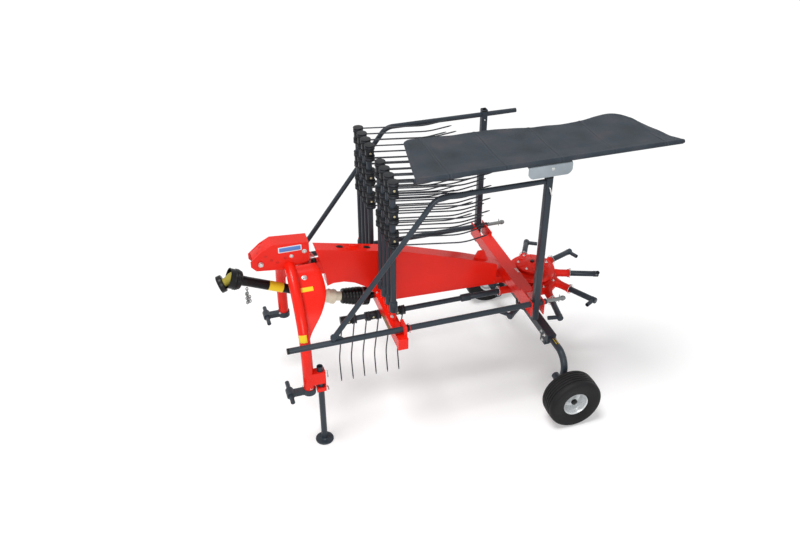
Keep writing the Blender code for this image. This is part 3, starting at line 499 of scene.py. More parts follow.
# %% Tyres
TYRE_LOW, TYRE_HIGH = node_box("left_tyre")
TYRE_RADIUS = (TYRE_HIGH[2] - TYRE_LOW[2]) / 2
TYRE_HALF = (TYRE_HIGH[1] - TYRE_LOW[1]) / 2
WHEEL_CENTRE = (TYRE_LOW + TYRE_HIGH) / 2
BEAD = 0.0875
SHOULDER_HALF, SHOULDER_R = 0.053, 0.163
GROOVES = np.array([-0.040, -0.020, 0.0, 0.020, 0.040])
GROOVE_DEPTH, GROOVE_HALF = 0.0065, 0.0026


def tyre_profile():
    """Rows of (radius, distance across): bead, sidewall, shoulder, grooved tread, and the way back inside."""
    climb = np.linspace(0, 1, 22)[:-1]
    bulge = TYRE_HALF - 0.0005
    wall_r = BEAD + (SHOULDER_R - BEAD) * climb
    wall_y = 0.064 + (bulge - 0.064) * np.sin(climb * math.pi / 2) ** 0.8
    wall_y += 0.0008 * (np.abs(climb - 0.30) < 0.05) + 0.0006 * (np.abs(climb - 0.62) < 0.04)
    turn = np.linspace(0, math.pi / 2, 14)[:-1]
    edge_r = SHOULDER_R + (TYRE_RADIUS - 0.0028 - SHOULDER_R) * np.sin(turn)
    edge_y = SHOULDER_HALF + (bulge - SHOULDER_HALF) * np.cos(turn)
    tread_y = np.linspace(-SHOULDER_HALF, SHOULDER_HALF, 171)
    groove = 1 / (1 + np.exp((np.abs(tread_y[:, None] - GROOVES).min(1) - GROOVE_HALF) / 0.00045))
    tread_r = TYRE_RADIUS - 0.0002 - 0.0026 * (tread_y / SHOULDER_HALF) ** 2 - GROOVE_DEPTH * groove
    outside = np.concatenate([np.stack([wall_r, -wall_y], -1), np.stack([edge_r, -edge_y], -1),
                              np.stack([tread_r, tread_y], -1), np.stack([edge_r, edge_y], -1)[::-1],
                              np.stack([wall_r, wall_y], -1)[::-1]])
    inside = np.stack([np.full(3, BEAD - 0.0006), np.array([0.055, 0.0, -0.055])], -1)
    return np.concatenate([outside, inside])


add_pair("tyre_ribbed", turned(tyre_profile(), WHEEL_CENTRE, (0, 1, 0), 112, closed=True), "tyre_rubber",
         "SIDE_wheel", "SIDE_tyre")
print("tyre", round(2 * TYRE_RADIUS, 3), "m across,", round(2 * TYRE_HALF, 3), "m wide")

# %% [markdown]
# The rim is pressed from sheet: a rolled lip, a stepped barrel, a dished disc and a hub with a cap and four
# nuts. The same turned function carries a profile that goes in over the outer face and back behind it.

# %% Rims
def rim_profile():
    """Rows of (radius, distance outward), over the outer face from the axle to the lip and back inside."""
    return [(0.0138, -0.054), (0.030, -0.054), (0.031, -0.050), (0.031, -0.030), (0.060, -0.032),
            (0.0690, -0.036), (0.0735, -0.044), (0.0755, -0.056), (0.079, -0.0605), (0.0835, -0.0625),
            (0.0862, -0.0655), (0.0866, -0.0640), (0.0864, -0.058), (0.0800, -0.048), (0.0792, 0.048),
            (0.0864, 0.058), (0.0866, 0.0640), (0.0862, 0.0658), (0.0838, 0.0650), (0.0812, 0.0612),
            (0.0785, 0.0560), (0.0770, 0.0420), (0.0735, 0.0360), (0.0705, 0.0300), (0.0690, 0.0060),
            (0.0650, -0.0060), (0.0560, -0.0110), (0.0420, -0.0095), (0.0330, -0.0050), (0.0300, 0.0010),
            (0.0290, 0.0320), (0.0275, 0.0350), (0.0138, 0.0355)]


def wheel_nuts():
    """Four bolts on a circle round the hub, their heads outward."""
    angle = np.arange(4) * math.pi / 2 + math.pi / 4
    spots = WHEEL_CENTRE + np.stack([0.049 * np.cos(angle), np.full(4, -0.0102), 0.049 * np.sin(angle)], -1)
    return join(*[bolt(spot, (0, 1, 0), 0.013, 0.004) for spot in spots])


rim = turned(rim_profile(), WHEEL_CENTRE, (0, 1, 0), 72, closed=True)
cap = turned([(0.0215, 0.034), (0.0220, 0.040), (0.0205, 0.046), (0.0140, 0.0495), (0.006, 0.0510),
              (0.001, 0.0512)], WHEEL_CENTRE, (0, 1, 0), 40)
valve = bar(circle(0.0035, 10), WHEEL_CENTRE + [0.058, -0.010, 0.02], WHEEL_CENTRE + [0.057, 0.022, 0.019])
add_pair("rim_pressed", rim, "rim_silver", "SIDE_wheel", "SIDE_rim")
add_pair("hub_cap", cap, "black_plastic", "SIDE_wheel")
add_pair("wheel_nuts", wheel_nuts(), "zinc", "SIDE_wheel")
add_pair("valve", valve, "black_plastic", "SIDE_wheel")
print("rims done")

# %% [markdown]
# ## Wheel legs
# Each leg is one bent tube from the axle box to a cross tube that holds the stub axle. A path of straight
# runs and one arc carries a circle, and the cross tube is turned with rounded ends.

# %% Legs, cross tubes and the axle box's fittings
LEG_Z = 0.43
LEG_R, CROSS_R = 0.024, 0.028
BOX_END = node_box("axle_box")[1][1]
LEG_PATH = arc_path([(0, BOX_END + 0.0003, LEG_Z), (0, WHEEL_CENTRE[1] - 0.129, LEG_Z),
                     (0, WHEEL_CENTRE[1] - 0.156, TYRE_RADIUS)], 0.11, 16)
CROSS_IN, CROSS_OUT = WHEEL_CENTRE[1] - 0.249, TYRE_LOW[1] - 0.006
cross = turned([(0.012, 0.0), (0.0265, 0.0), (CROSS_R, 0.0015), (CROSS_R, CROSS_OUT - CROSS_IN - 0.0015),
                (0.0265, CROSS_OUT - CROSS_IN), (0.012, CROSS_OUT - CROSS_IN)],
               (0, CROSS_IN, TYRE_RADIUS), (0, 1, 0), 40)
stub = turned([(0.0118, 0.0), (0.0118, 0.088), (0.0105, 0.0895)], (0, CROSS_OUT - 0.02, TYRE_RADIUS),
              (0, 1, 0), 24)
weld = turned([(0.030, -0.006), (0.0345, -0.002), (0.0345, 0.003), (0.030, 0.007)],
              (0, WHEEL_CENTRE[1] - 0.154, TYRE_RADIUS + 0.026), (0, 0, 1), 32)
left_leg = join(swept(LEG_PATH, LEG_R, 28, hint=(1, 0, 0)), cross, stub, weld)
collar = turned([(0.0245, 0.0), (0.0275, 0.001), (0.0275, 0.012), (0.0245, 0.013)],
                (0, BOX_END + 0.0005, LEG_Z), (0, 1, 0), 32)
box_bolts = join(*[bolt((0.0325, y, LEG_Z + 0.004), (1, 0, 0), 0.012) for y in (0.30, 0.35)],
                 bolt((0.0325, 0.325, LEG_Z - 0.055), (1, 0, 0), 0.013))
tag = solid(rounded_box(0.020, 0.062, 0.003), [(0, 1.0), (0.0004, 1.0), (0.0006, 0.97)],
            (0.0, 0.455, LEG_Z + LEG_R - 0.0012), (0, 0, 1), hint=(0, 1, 0))
add_pair("leg_tube", left_leg, "slate_paint", "frame", "SIDE_wheel_leg")
add_pair("leg_collar", collar, "slate_paint")
add_pair("axle_bolts", box_bolts, "zinc")
add_piece("leg_tag", tag, "label_yellow")
print("legs done")

# %% [markdown]
# ## Rotor
# The hub is a casting: a shallow drum from which nine sockets leave at a tangent. Each socket starts wide and
# low where it grows out of the drum and ends round where the arm goes in, so its section is a superellipse
# whose width, height and squareness change along the way.

# %% Hub casting
SOCKET_START, SOCKET_MOUTH, ARM_TIP, ARM_OFFSET = 0.05, 0.28, 0.491, 0.0767
ARM_ANGLES = np.arange(9) * math.tau / 9


def arm_frame(angle):
    """Directions along and across an arm, and the point where its line passes the rotor's axis."""
    along = np.array([math.cos(angle), math.sin(angle), 0])
    side = np.array([-math.sin(angle), math.cos(angle), 0])
    return along, side, side * ARM_OFFSET + [0, 0, ARM_Z]


def socket(angle, sides=28):
    """Rings that start wide and square in the drum and end round at the mouth, with a raised lip."""
    along, side, foot = arm_frame(angle)
    distance = np.concatenate([np.linspace(SOCKET_START, SOCKET_MOUTH - 0.016, 15), [SOCKET_MOUTH - 0.014],
                               [SOCKET_MOUTH - 0.012, SOCKET_MOUTH - 0.002, SOCKET_MOUTH]])
    share = np.clip((distance - 0.09) / 0.13, 0, 1)[:, None]
    ease = share * share * (3 - 2 * share)
    width = 0.052 * (1 - ease) + 0.0262 * ease
    height = 0.030 * (1 - ease) + 0.0262 * ease
    lip = np.array([0.0] * 15 + [0.0, 0.0035, 0.0035, 0.0020])[:, None]
    power = 0.55 * (1 - ease) + 1.0 * ease
    flat, tall = superellipse(width + lip, height + lip, power, sides)
    centre = foot + distance[:, None] * along
    return loft(centre[:, None] + flat[..., None] * side + tall[..., None] * np.array([0, 0, 1]))


def web(angle):
    """An upright rib on top of a socket, tallest at the drum and gone before the mouth."""
    along, side, foot = arm_frame(angle)
    distance = np.linspace(0.06, SOCKET_MOUTH - 0.02, 12)[:, None]
    top = 0.034 - 0.010 * ((distance - 0.06) / 0.2)
    section = np.array([[-1, 0], [1, 0], [0.7, 1], [-0.7, 1]], float)
    points = foot + distance[..., None] * along + section[None, :, :1] * 0.0045 * side \
        + (section[None, :, 1:] * (top - 0.012)[..., None] + 0.012) * np.array([0, 0, 1])
    return loft(points)


HUB_FLOOR = node_box("rotor_hub")[0][2]
drum = turned([(0.0488, 0.0), (0.118, 0.0), (0.124, 0.004), (0.150, 0.034), (0.178, 0.050), (0.185, 0.056),
               (0.187, 0.064), (0.187, 0.092), (0.184, 0.099), (0.176, 0.104), (0.150, 0.107), (0.146, 0.111),
               (0.0488, 0.1115)], (0, 0, HUB_FLOOR), (0, 0, 1), 108, closed=True)
casting = join(drum, *map(socket, ARM_ANGLES), *map(web, ARM_ANGLES))
add_piece("hub_casting", casting, "red_casting", "rotor", ["rotor_hub"])
hub_bolts = [bolt(polar(0.163, a, HUB_FLOOR + 0.106), (0, 0, 1), 0.010) for a in ARM_ANGLES + 0.30]
add_piece("hub_bolts", join(*hub_bolts), "zinc", "rotor")
print("hub with", len(ARM_ANGLES), "sockets")

# %% [markdown]
# A control arm is a bare tube that ends in a crank: in work a tine arm is pushed over its end and pinned
# there. The crank is a short tube with an open, darker end. Bright wire clips hold the arms at the sockets.

# %% Control arms
ARM_R, CRANK_R, CRANK_LENGTH = 0.020, 0.014, 0.082
CRANK_ROLL = {4: math.radians(40)}


def open_tube(start, end, radius, wall=0.003, depth=0.03, sides=24):
    """A tube whose far end is open: the outer wall, over the rim, and down the bore to a floor."""
    length = float(np.linalg.norm(np.subtract(end, start)))
    rows = [(radius, 0.0), (radius, length - 0.001), (radius - 0.0008, length), (radius - wall, length),
            (radius - wall, length - depth)]
    return turned(rows, start, np.subtract(end, start), sides)


def control_arm(number):
    """Tube from the socket's mouth, with the crank that hangs from its end."""
    along, side, foot = arm_frame(ARM_ANGLES[number])
    tip = foot + ARM_TIP * along
    tube = bar(circle(ARM_R, 28), foot + (SOCKET_MOUTH + 0.0003) * along, tip, edge=0.002)
    if number == 0:
        return tube
    roll = CRANK_ROLL.get(number, 0.0)
    swing = -side * math.cos(roll) + np.array([0, 0, 1]) * math.sin(roll)
    root = foot + (ARM_TIP - 0.02) * along
    eye = turned([(0.0205, -0.0175), (0.0215, -0.0165), (0.0215, 0.0165), (0.0205, 0.0175)], root, along, 28)
    return join(tube, eye, open_tube(root, root + CRANK_LENGTH * swing, CRANK_R))


def socket_clip(angle):
    """A wire ring through the socket's mouth, with a short pin across it."""
    along, side, foot = arm_frame(angle)
    spot = foot + (SOCKET_MOUTH + 0.004) * along
    pin = bar(circle(0.003, 10), spot + [0, 0, -0.032], spot + [0, 0, 0.034])
    return join(pin, ring(spot, along, 0.0345, 0.0018), ring(spot + [0, 0, 0.034], side, 0.008, 0.0016))


for number in range(9):
    add_piece(f"control_arm_{number + 1}_tube", control_arm(number), "slate_paint", "rotor",
              [f"control_arm_{number + 1}"])
add_piece("socket_clips", join(*map(socket_clip, ARM_ANGLES)), "zinc", "rotor")
print("nine control arms and their clips")

# %% [markdown]
# ## Tine arms
# A tine arm is a tube with three holders. In each holder a spring tine is clamped: one wire that is wound
# round the tube and leaves as two long fingers with a knee. The arm is drawn once, along +X with its tines
# hanging down, and a turn and a shift put a copy in each place.

# %% One tine arm
TINE_ARM_LENGTH, TINE_ARM_R, CLAMP_R = 0.916, 0.018, 0.026
HOLDER_PITCH, TINE_PITCH, TINE_R = 0.17, 0.085, 0.0045
KNEE_DROP, KNEE_LEAN, TIP_DROP, TIP_LEAN, SPLAY = 0.416, 0.106, 0.586, 0.068, 0.009


def holder_middles():
    return TINE_ARM_LENGTH - 0.0025 - TINE_PITCH / 2 - np.arange(3) * HOLDER_PITCH


def arm_bar():
    """The tube, with the wider clamp that goes over a control arm's end, and an end plug."""
    clamp = turned([(0.0215, 0.0), (0.0255, 0.001), (CLAMP_R, 0.003), (CLAMP_R, 0.066), (0.0245, 0.069),
                    (0.019, 0.071)], (0, 0, 0), (1, 0, 0), 28)
    tube = turned([(0.010, 0.0), (TINE_ARM_R, 0.0), (TINE_ARM_R, 0.9145), (0.0165, TINE_ARM_LENGTH)],
                  (0, 0, 0), (1, 0, 0), 24)
    return join(clamp, tube)


def arm_holders():
    """For each pair of tines a saddle over the tube, two winding drums and a lower clamp plate."""
    parts = []
    for middle in holder_middles():
        parts.append(solid(rounded_box(0.044, 0.050, 0.010), rounded_bar(0.042, 0.003),
                           (middle - 0.021, 0, -0.002), (1, 0, 0)))
        for side in (-1, 1):
            spot = middle + side * 0.0375
            parts.append(turned([(0.0185, -0.0165), (0.0325, -0.0155), (0.0335, -0.0135), (0.0325, -0.0105),
                                 (0.0285, -0.0090), (0.0285, 0.0090), (0.0325, 0.0105), (0.0335, 0.0135),
                                 (0.0325, 0.0155), (0.0185, 0.0165)], (spot, 0, -0.004), (1, 0, 0), 28))
        parts.append(solid(rounded_box(0.020, 0.016, 0.004), rounded_bar(0.096, 0.002),
                           (middle - 0.048, 0, -0.024), (1, 0, 0)))
    return join(*parts)


def arm_coils():
    """Two turns of wire on each drum: a helix (x + pitch a, r cos a, r sin a)."""
    parts = []
    angle = np.linspace(0, 2 * math.tau, 33)
    turn = angle - math.pi / 2
    for middle in holder_middles():
        for side in (-1, 1):
            x = middle + side * (0.0375 - 0.006 + 0.012 * angle / angle[-1])
            helix = np.stack([x, 0.0302 * np.cos(turn), -0.004 + 0.0302 * np.sin(turn)], -1)
            parts.append(swept(helix, 0.0030, 6, hint=(1, 0, 0)))
    return join(*parts)


def arm_tines():
    """Each finger: down from the arm, out to a knee, and back to a rounded tip, as one smooth curve."""
    parts = []
    for middle in holder_middles():
        for side in (-1, 1):
            x = middle + side * TINE_PITCH / 2
            path = arc_path([(x, 0, -0.014), (x + SPLAY, -KNEE_LEAN, -KNEE_DROP),
                             (x + SPLAY, -TIP_LEAN, -TIP_DROP)], 0.22, 10, 7)
            size = np.full(len(path), TINE_R)
            size[-1] = TINE_R * 0.55
            parts.append(swept(path, size, 10, hint=(1, 0, 0)))
    return join(*parts)


def arm_bolts():
    """A hexagon bolt through each saddle, seen from both sides of the arm."""
    spots = [(middle, face * 0.0225, -0.004) for middle in holder_middles() for face in (-1, 1)]
    return join(*[bolt(spot, (0, spot[1], 0), 0.0075, 0.004) for spot in spots])


ARM_FINISHES = (("bar", arm_bar(), "slate_paint"), ("holders", arm_holders(), "holder_black"),
                ("coils", arm_coils(), "spring_steel"), ("tines", arm_tines(), "spring_steel"),
                ("bolts", arm_bolts(), "yellow_zinc"))


def place_arm(name, turn, shift, body):
    """Puts a copy of the arm where a packed tine arm is, one piece for each finish."""
    for label, (points, faces), finish in ARM_FINISHES:
        part = (points @ np.asarray(turn, float).T + shift, faces)
        add_piece(f"{name}_{label}", part, finish, body, [name] if label == "bar" else ())


print("a tine arm has", sum(len(part[0]) for _, part, _ in ARM_FINISHES), "points")

# %% [markdown]
# One arm is still mounted and points at the tractor. The other eight stand on the front crossbar, tubes
# upright, tines pointing to the rear. A row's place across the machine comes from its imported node.

# %% Mounted and stowed arms
along, side, foot = arm_frame(0.0)
place_arm("front_tine_arm", np.eye(3), foot + (ARM_TIP + 0.0003) * along, "rotor")
UPRIGHT = [[0, 0, 1], [0, -1, 0], [1, 0, 0]]
# a stowed arm's node is widest at its clamp, so its low side lies CLAMP_R from the arm's line
for number in range(1, 9):
    low, _ = node_box(f"stowed_tine_arm_{number}")
    shift = [node_middle("front_crossbar")[0], low[1] + CLAMP_R, low[2]]
    place_arm(f"stowed_tine_arm_{number}", UPRIGHT, shift, "frame")
print("nine tine arms,", TALLY["faces"], "faces so far")

# %% [markdown]
# ## Guard frames
# A guard frame is a long lower tube, a square post and a bent rail. Tubes are circles carried along their
# path. The post is a square hollow section with round corners, open at its foot and capped at its top.

# %% Lower tubes, rods and rails
TUBE_LOW, TUBE_HIGH = node_box("left_guard_tube")
GUARD_Y, GUARD_Z = node_middle("left_guard_tube")[1:]
TUBE_R = (TUBE_HIGH[2] - TUBE_LOW[2]) / 2
POST_LOW, POST_HIGH = node_box("left_guard_post")
POST_X = node_middle("left_guard_post")[0]
ROD_LOW, ROD_HIGH = node_box("left_guard_rod")
RAIL_R = 0.0165
RAIL_Z = node_box("left_guard_rail")[1][2] - RAIL_R

TUBE_LENGTH = TUBE_HIGH[0] - TUBE_LOW[0]
lower = turned([(TUBE_R - 0.004, 0.012), (TUBE_R - 0.004, 0.0), (TUBE_R, 0.0), (TUBE_R, TUBE_LENGTH - 0.001),
                (TUBE_R - 0.001, TUBE_LENGTH)], (TUBE_LOW[0], GUARD_Y, GUARD_Z), (1, 0, 0), 36)
plug = turned([(0.0175, -0.0005), (0.0195, 0.0), (0.0195, 0.012), (0.017, 0.014)],
              (TUBE_HIGH[0] - 0.0135, GUARD_Y, GUARD_Z), (1, 0, 0), 32)
slider = join(
    turned([(0.009, 0.0), (0.0115, 0.0), (0.0125, 0.001), (0.0125, ROD_HIGH[0] - ROD_LOW[0])],
           (ROD_LOW[0], GUARD_Y, GUARD_Z), (1, 0, 0), 24),
    turned([(0.0125, 0.0), (0.0165, 0.001), (0.017, 0.003), (0.017, 0.015), (0.0165, 0.017), (0.0125, 0.018)],
           (0.012, GUARD_Y, GUARD_Z), (1, 0, 0), 28),
    bar(circle(0.003, 10), (0.045, GUARD_Y, GUARD_Z - 0.024), (0.045, GUARD_Y, GUARD_Z + 0.026)),
    ring((0.045, GUARD_Y, GUARD_Z + 0.026), (1, 0, 0), 0.006, 0.0012))


def guard_rail(start_x):
    """Straight, one arc, and down to the lower tube; the foot stops just above the tube, where it is welded
    on.
    """
    path = arc_path([(start_x, GUARD_Y, RAIL_Z), (0.914, GUARD_Y, RAIL_Z), (1.581, GUARD_Y, GUARD_Z)],
                    0.10, 18)
    drop = unit(path[-1] - path[-2])
    stop = (GUARD_Z + TUBE_R + 0.004 - path[-1][2]) / drop[2]
    path[-1] = path[-1] + stop * drop
    size = np.full(len(path), RAIL_R)
    size[0] = RAIL_R * 0.93
    return swept(path, size, 28, hint=(0, 1, 0))


def rail_foot():
    """A flat tab, round at its end, that carries the rail's foot on the tube, with one bolt."""
    section = rounded_box(0.090, 0.036, 0.016, 6)
    tab = solid(section, rounded_bar(0.006, 0.001), (1.535, GUARD_Y - 0.003, GUARD_Z + 0.032), (0, 1, 0),
                hint=(-0.55, 0, 0.83))
    return join(tab, bolt((1.545, GUARD_Y + 0.0165, GUARD_Z + 0.046), (0, 1, 0), 0.010, 0.002))


add_pair("lower_tube", lower, "slate_paint", "SIDE_guard", "SIDE_guard_tube")
add_pair("tube_plug", plug, "black_plastic", "SIDE_guard")
add_pair("sliding_rod", slider, "bare_steel", "SIDE_guard", "SIDE_guard_rod")
# the left rail ends at its post, and the right one runs on past it
left_rail = join(guard_rail(POST_HIGH[0] + 0.0003), rail_foot())
right_rail = mirrored(join(guard_rail(node_box("right_guard_rail")[0][0]), rail_foot()))
for name, rail in (("left", left_rail), ("right", right_rail)):
    add_piece(f"{name}_bent_rail", rail, "slate_paint", f"{name}_guard", [f"{name}_guard_rail"])
print("guard tubes at y =", round(GUARD_Y, 3), "z =", round(GUARD_Z, 3))

# %% Posts
POST_W, POST_D = POST_HIGH[0] - POST_LOW[0], POST_HIGH[1] - POST_LOW[1]


def post():
    """Square section with rounded corners carried upward, and a collar where the lower tube goes through."""
    height = POST_HIGH[2] - POST_LOW[2]
    shaft = solid(rounded_box(POST_D, POST_W, 0.006, 4),
                  [(0, 0.97), (0.001, 1), (height - 0.003, 1), (height, 0.95)],
                  (POST_X, GUARD_Y, POST_LOW[2]), (0, 0, 1), hint=(1, 0, 0))
    collars = [turned([(0.0193, 0.0), (0.0235, 0.0005), (0.0235, 0.004), (0.0193, 0.007)],
                      (POST_X + face * POST_W / 2, GUARD_Y, GUARD_Z), (face, 0, 0), 32) for face in (-1, 1)]
    return join(shaft, *collars)


def post_cap():
    """A dark plastic cap: a rounded slab with a low crown."""
    return solid(rounded_box(POST_D + 0.001, POST_W + 0.001, 0.006, 4),
                 [(0, 1.0), (0.008, 1.0), (0.0105, 0.93), (0.0115, 0.7)],
                 (POST_X, GUARD_Y, POST_HIGH[2] - 0.0115),
                 (0, 0, 1), hint=(1, 0, 0))


def lock_pin():
    """A bright pin through the post's head, with a bent handle that lies against the post."""
    y_in, y_out = GUARD_Y - POST_D / 2 - 0.010, GUARD_Y + POST_D / 2 + 0.012
    handle = arc_path([(POST_X + 0.004, y_in, RAIL_Z - 0.03), (POST_X + 0.004, y_out, RAIL_Z - 0.03),
                       (POST_X - 0.012, y_out, RAIL_Z - 0.085)], 0.008, 6, 4)
    return swept(handle, 0.0045, 12, hint=(1, 0, 0))


add_pair("square_post", post(), "slate_paint", "SIDE_guard", "SIDE_guard_post")
add_pair("post_cap", post_cap(), "black_plastic", "SIDE_guard")
add_pair("lock_pin", lock_pin(), "zinc", "SIDE_guard")
print("posts", round(POST_W, 3), "by", round(POST_D, 3), "m")

# %% [markdown]
# ## Curtain bracket and rod
# The bracket is one folded sheet of galvanised steel: a flat top, a round fold, and an apron whose lower
# corners are cut off. Its outline is carried along X while the apron's depth grows from the cut corners.

# %% Bracket and rod
BRACKET_LOW, BRACKET_HIGH = node_box("curtain_bracket")
SHEET = 0.005
SLEEVE_ROOM = 0.0045        # for the curtain's sleeve between the rod and the bracket


def bracket():
    """For each station along X: the folded outline, its apron shorter near both ends (corner cuts)."""
    x = BRACKET_LOW[0] + (BRACKET_HIGH[0] - BRACKET_LOW[0]) * np.array(
        [0, 0.004, 0.03, 0.06, 0.10, 0.5, 0.90, 0.94, 0.97, 0.996, 1])
    near_end = np.minimum(x - BRACKET_LOW[0], BRACKET_HIGH[0] - x)
    depth = 0.045 + 0.030 * np.clip(near_end / 0.024, 0, 1) ** 0.6
    fold = np.linspace(math.pi / 2, 0, 7)
    y_out, z_top, bend = BRACKET_HIGH[1], BRACKET_HIGH[2] - SLEEVE_ROOM, 0.014
    outer, inner = (np.stack([y_out - bend + r * np.cos(fold), z_top - bend + r * np.sin(fold)], -1)
                    for r in (bend, bend - SHEET))
    rings = []
    for place, drop in zip(x, depth):
        outline = np.concatenate([[[BRACKET_LOW[1], z_top]], outer, [[y_out, z_top - drop]],
                                  [[y_out - SHEET, z_top - drop]], inner[::-1],
                                  [[BRACKET_LOW[1], z_top - SHEET]]])
        rings.append(np.column_stack([np.full(len(outline), place), outline[:, 0], outline[:, 1]]))
    points, faces = loft(rings)
    return points, [face[::-1] for face in faces]


bracket_pin = turned([(0.011, 0.0), (0.011, 0.055), (0.016, 0.056), (0.016, 0.064)],
                     (POST_X, GUARD_Y, POST_HIGH[2] + 0.0005), (0, 0, 1), 28)
bracket_eye = join(turned([(0.0165, 0.0), (0.0185, 0.002), (0.0185, 0.026), (0.0165, 0.028)],
                          (POST_X, GUARD_Y, POST_HIGH[2] + 0.001), (0, 0, 1), 32),
                   bolt((POST_X, BRACKET_HIGH[1] - 0.001, BRACKET_HIGH[2] - 0.030), (0, 1, 0), 0.011, 0.002))
add_piece("bracket_sheet", bracket(), "galvanised", "left_guard", ["curtain_bracket"])
add_piece("bracket_pin", bracket_pin, "zinc", "left_guard")
add_piece("bracket_eye", bracket_eye, "zinc", "left_guard")

ROD_A, ROD_B = node_box("curtain_rod")
ROD_Y, ROD_Z = node_middle("curtain_rod")[1:]
ROD_R = (ROD_B[2] - ROD_A[2]) / 2
rod_length = ROD_B[0] - ROD_A[0]
rod = turned([(0.009, 0.02), (0.009, 0.0), (ROD_R, 0.0), (ROD_R, rod_length), (0.009, rod_length),
              (0.009, rod_length - 0.02)], (ROD_A[0], ROD_Y, ROD_Z), (1, 0, 0), 28)
add_piece("curtain_rod_tube", rod, "slate_paint", "left_guard", ["curtain_rod"])
print("rod", round(rod_length, 3), "m long")

# %% [markdown]
# ## Swath curtain
# The curtain is rubberised cloth with flat stiffeners in sewn pockets, so it can lie nearly flat when it is
# swung over the machine. Its outer edge is a sleeve on the rod. A simulation would let it hang like a flag,
# so its shape is a surface: an inner edge that wanders, and a height made of a few long, low waves. The
# mesh is one sheet, given its thickness by Solidify.

# %% The curtain's surface
CLOTH_LOW, CLOTH_HIGH = node_box("curtain")
ROWS, COLUMNS, SLEEVE_COLUMNS = 280, 80, 26
CLOTH_THICK, SLEEVE_R = 0.0018, ROD_R + 0.0022
REAR_SLANT, FRONT_SLANT = 0.115, 0.078      # how far the end edges lean in towards the free edge
REAR_CORNER, FRONT_CORNER = 0.16, 0.07      # radii of the free corners
SEAM_PITCH, SEAM_X = 0.345, 0.506            # the crosswise seams, one of them at SEAM_X
# places (x, y) that the free edge passes through
EDGE_WAVE = np.array([(-0.60, 0.03), (-0.39, 0.040), (-0.22, 0.076), (-0.05, 0.094), (0.14, 0.078),
                      (0.34, 0.048), (0.60, 0.020), (0.85, 0.006), (1.0, 0.012)])


def free_edge(x):
    """The wave through EDGE_WAVE, with a quarter circle r - sqrt(r^2 - d^2) added towards each corner."""
    wave = spline(EDGE_WAVE)
    y = np.interp(x, wave[:, 0], wave[:, 1])
    for corner, radius in ((x.min(), REAR_CORNER), (x.max(), FRONT_CORNER)):
        near = np.clip(radius - np.abs(x - corner), 0, radius)
        y = y + radius - np.sqrt(np.maximum(radius**2 - 0.985 * near**2, 0))
    return y


def cloth_height(along, share):
    """Long low waves that grow towards the free edge, a lifted rear, fine ripples and seams that stand up."""
    waves = 0.0050 * np.sin(along * 4.6 + 1.2) + 0.0032 * np.sin(along * 11.0 + 2.0 + 1.5 * share)
    rear_lift = (0.012 * np.exp(-(((along + 0.42) / 0.16) ** 2))
                 - 0.006 * np.exp(-(((along + 0.20) / 0.12) ** 2)))
    ripples = 0.0013 * np.sin(along * 37.0 + 6 * share) * np.sin(share * 7.0)
    puckers = 0.0016 * np.sin(along * 23.0 - 9 * share) * np.sin(share * 5.0 + along * 3.0)
    from_seam = (along - SEAM_X + SEAM_PITCH / 2) % SEAM_PITCH - SEAM_PITCH / 2
    seams = 0.0026 * np.exp(-((from_seam / 0.009) ** 2)) * np.clip(share * 8, 0, 1)
    return share**1.4 * (waves + rear_lift) + ripples + puckers * np.clip(share * 6, 0, 1) + seams


def curtain_grid():
    """Each row winds once round the rod, angle 130 to 450 degrees, then runs out to the free edge."""
    rod_x = np.linspace(CLOTH_LOW[0], CLOTH_HIGH[0], ROWS)[:, None]
    lean = np.linspace(REAR_SLANT, -FRONT_SLANT, ROWS)[:, None]
    turn = np.radians(np.linspace(130, 450, SLEEVE_COLUMNS))[None]
    share = np.linspace(0, 1, COLUMNS + 1)[None, 1:]
    ends = np.abs(np.linspace(-1, 1, ROWS)[:, None]) ** 6
    x = rod_x + lean * ends * share
    edge = free_edge((rod_x + lean * ends)[:, 0])[:, None]
    y = ROD_Y + (edge - ROD_Y) * share
    z = ROD_Z + SLEEVE_R * (1 - 0.9 * np.clip(share * 4, 0, 1) ** 0.7) + cloth_height(x, share)
    sleeve = np.stack(np.broadcast_arrays(rod_x, ROD_Y + SLEEVE_R * np.cos(turn),
                                          ROD_Z + SLEEVE_R * np.sin(turn)), -1)
    return np.concatenate([sleeve, np.stack([x, y, z], -1)], 1)


GRID = curtain_grid()

# %% [markdown]
# The cloth's finish follows its own cut: a UV map in metres, along the rod and across it. Two crossed waves
# make the weave's bump, and beside each seam run two rows of stitches, which are dashes along the width.


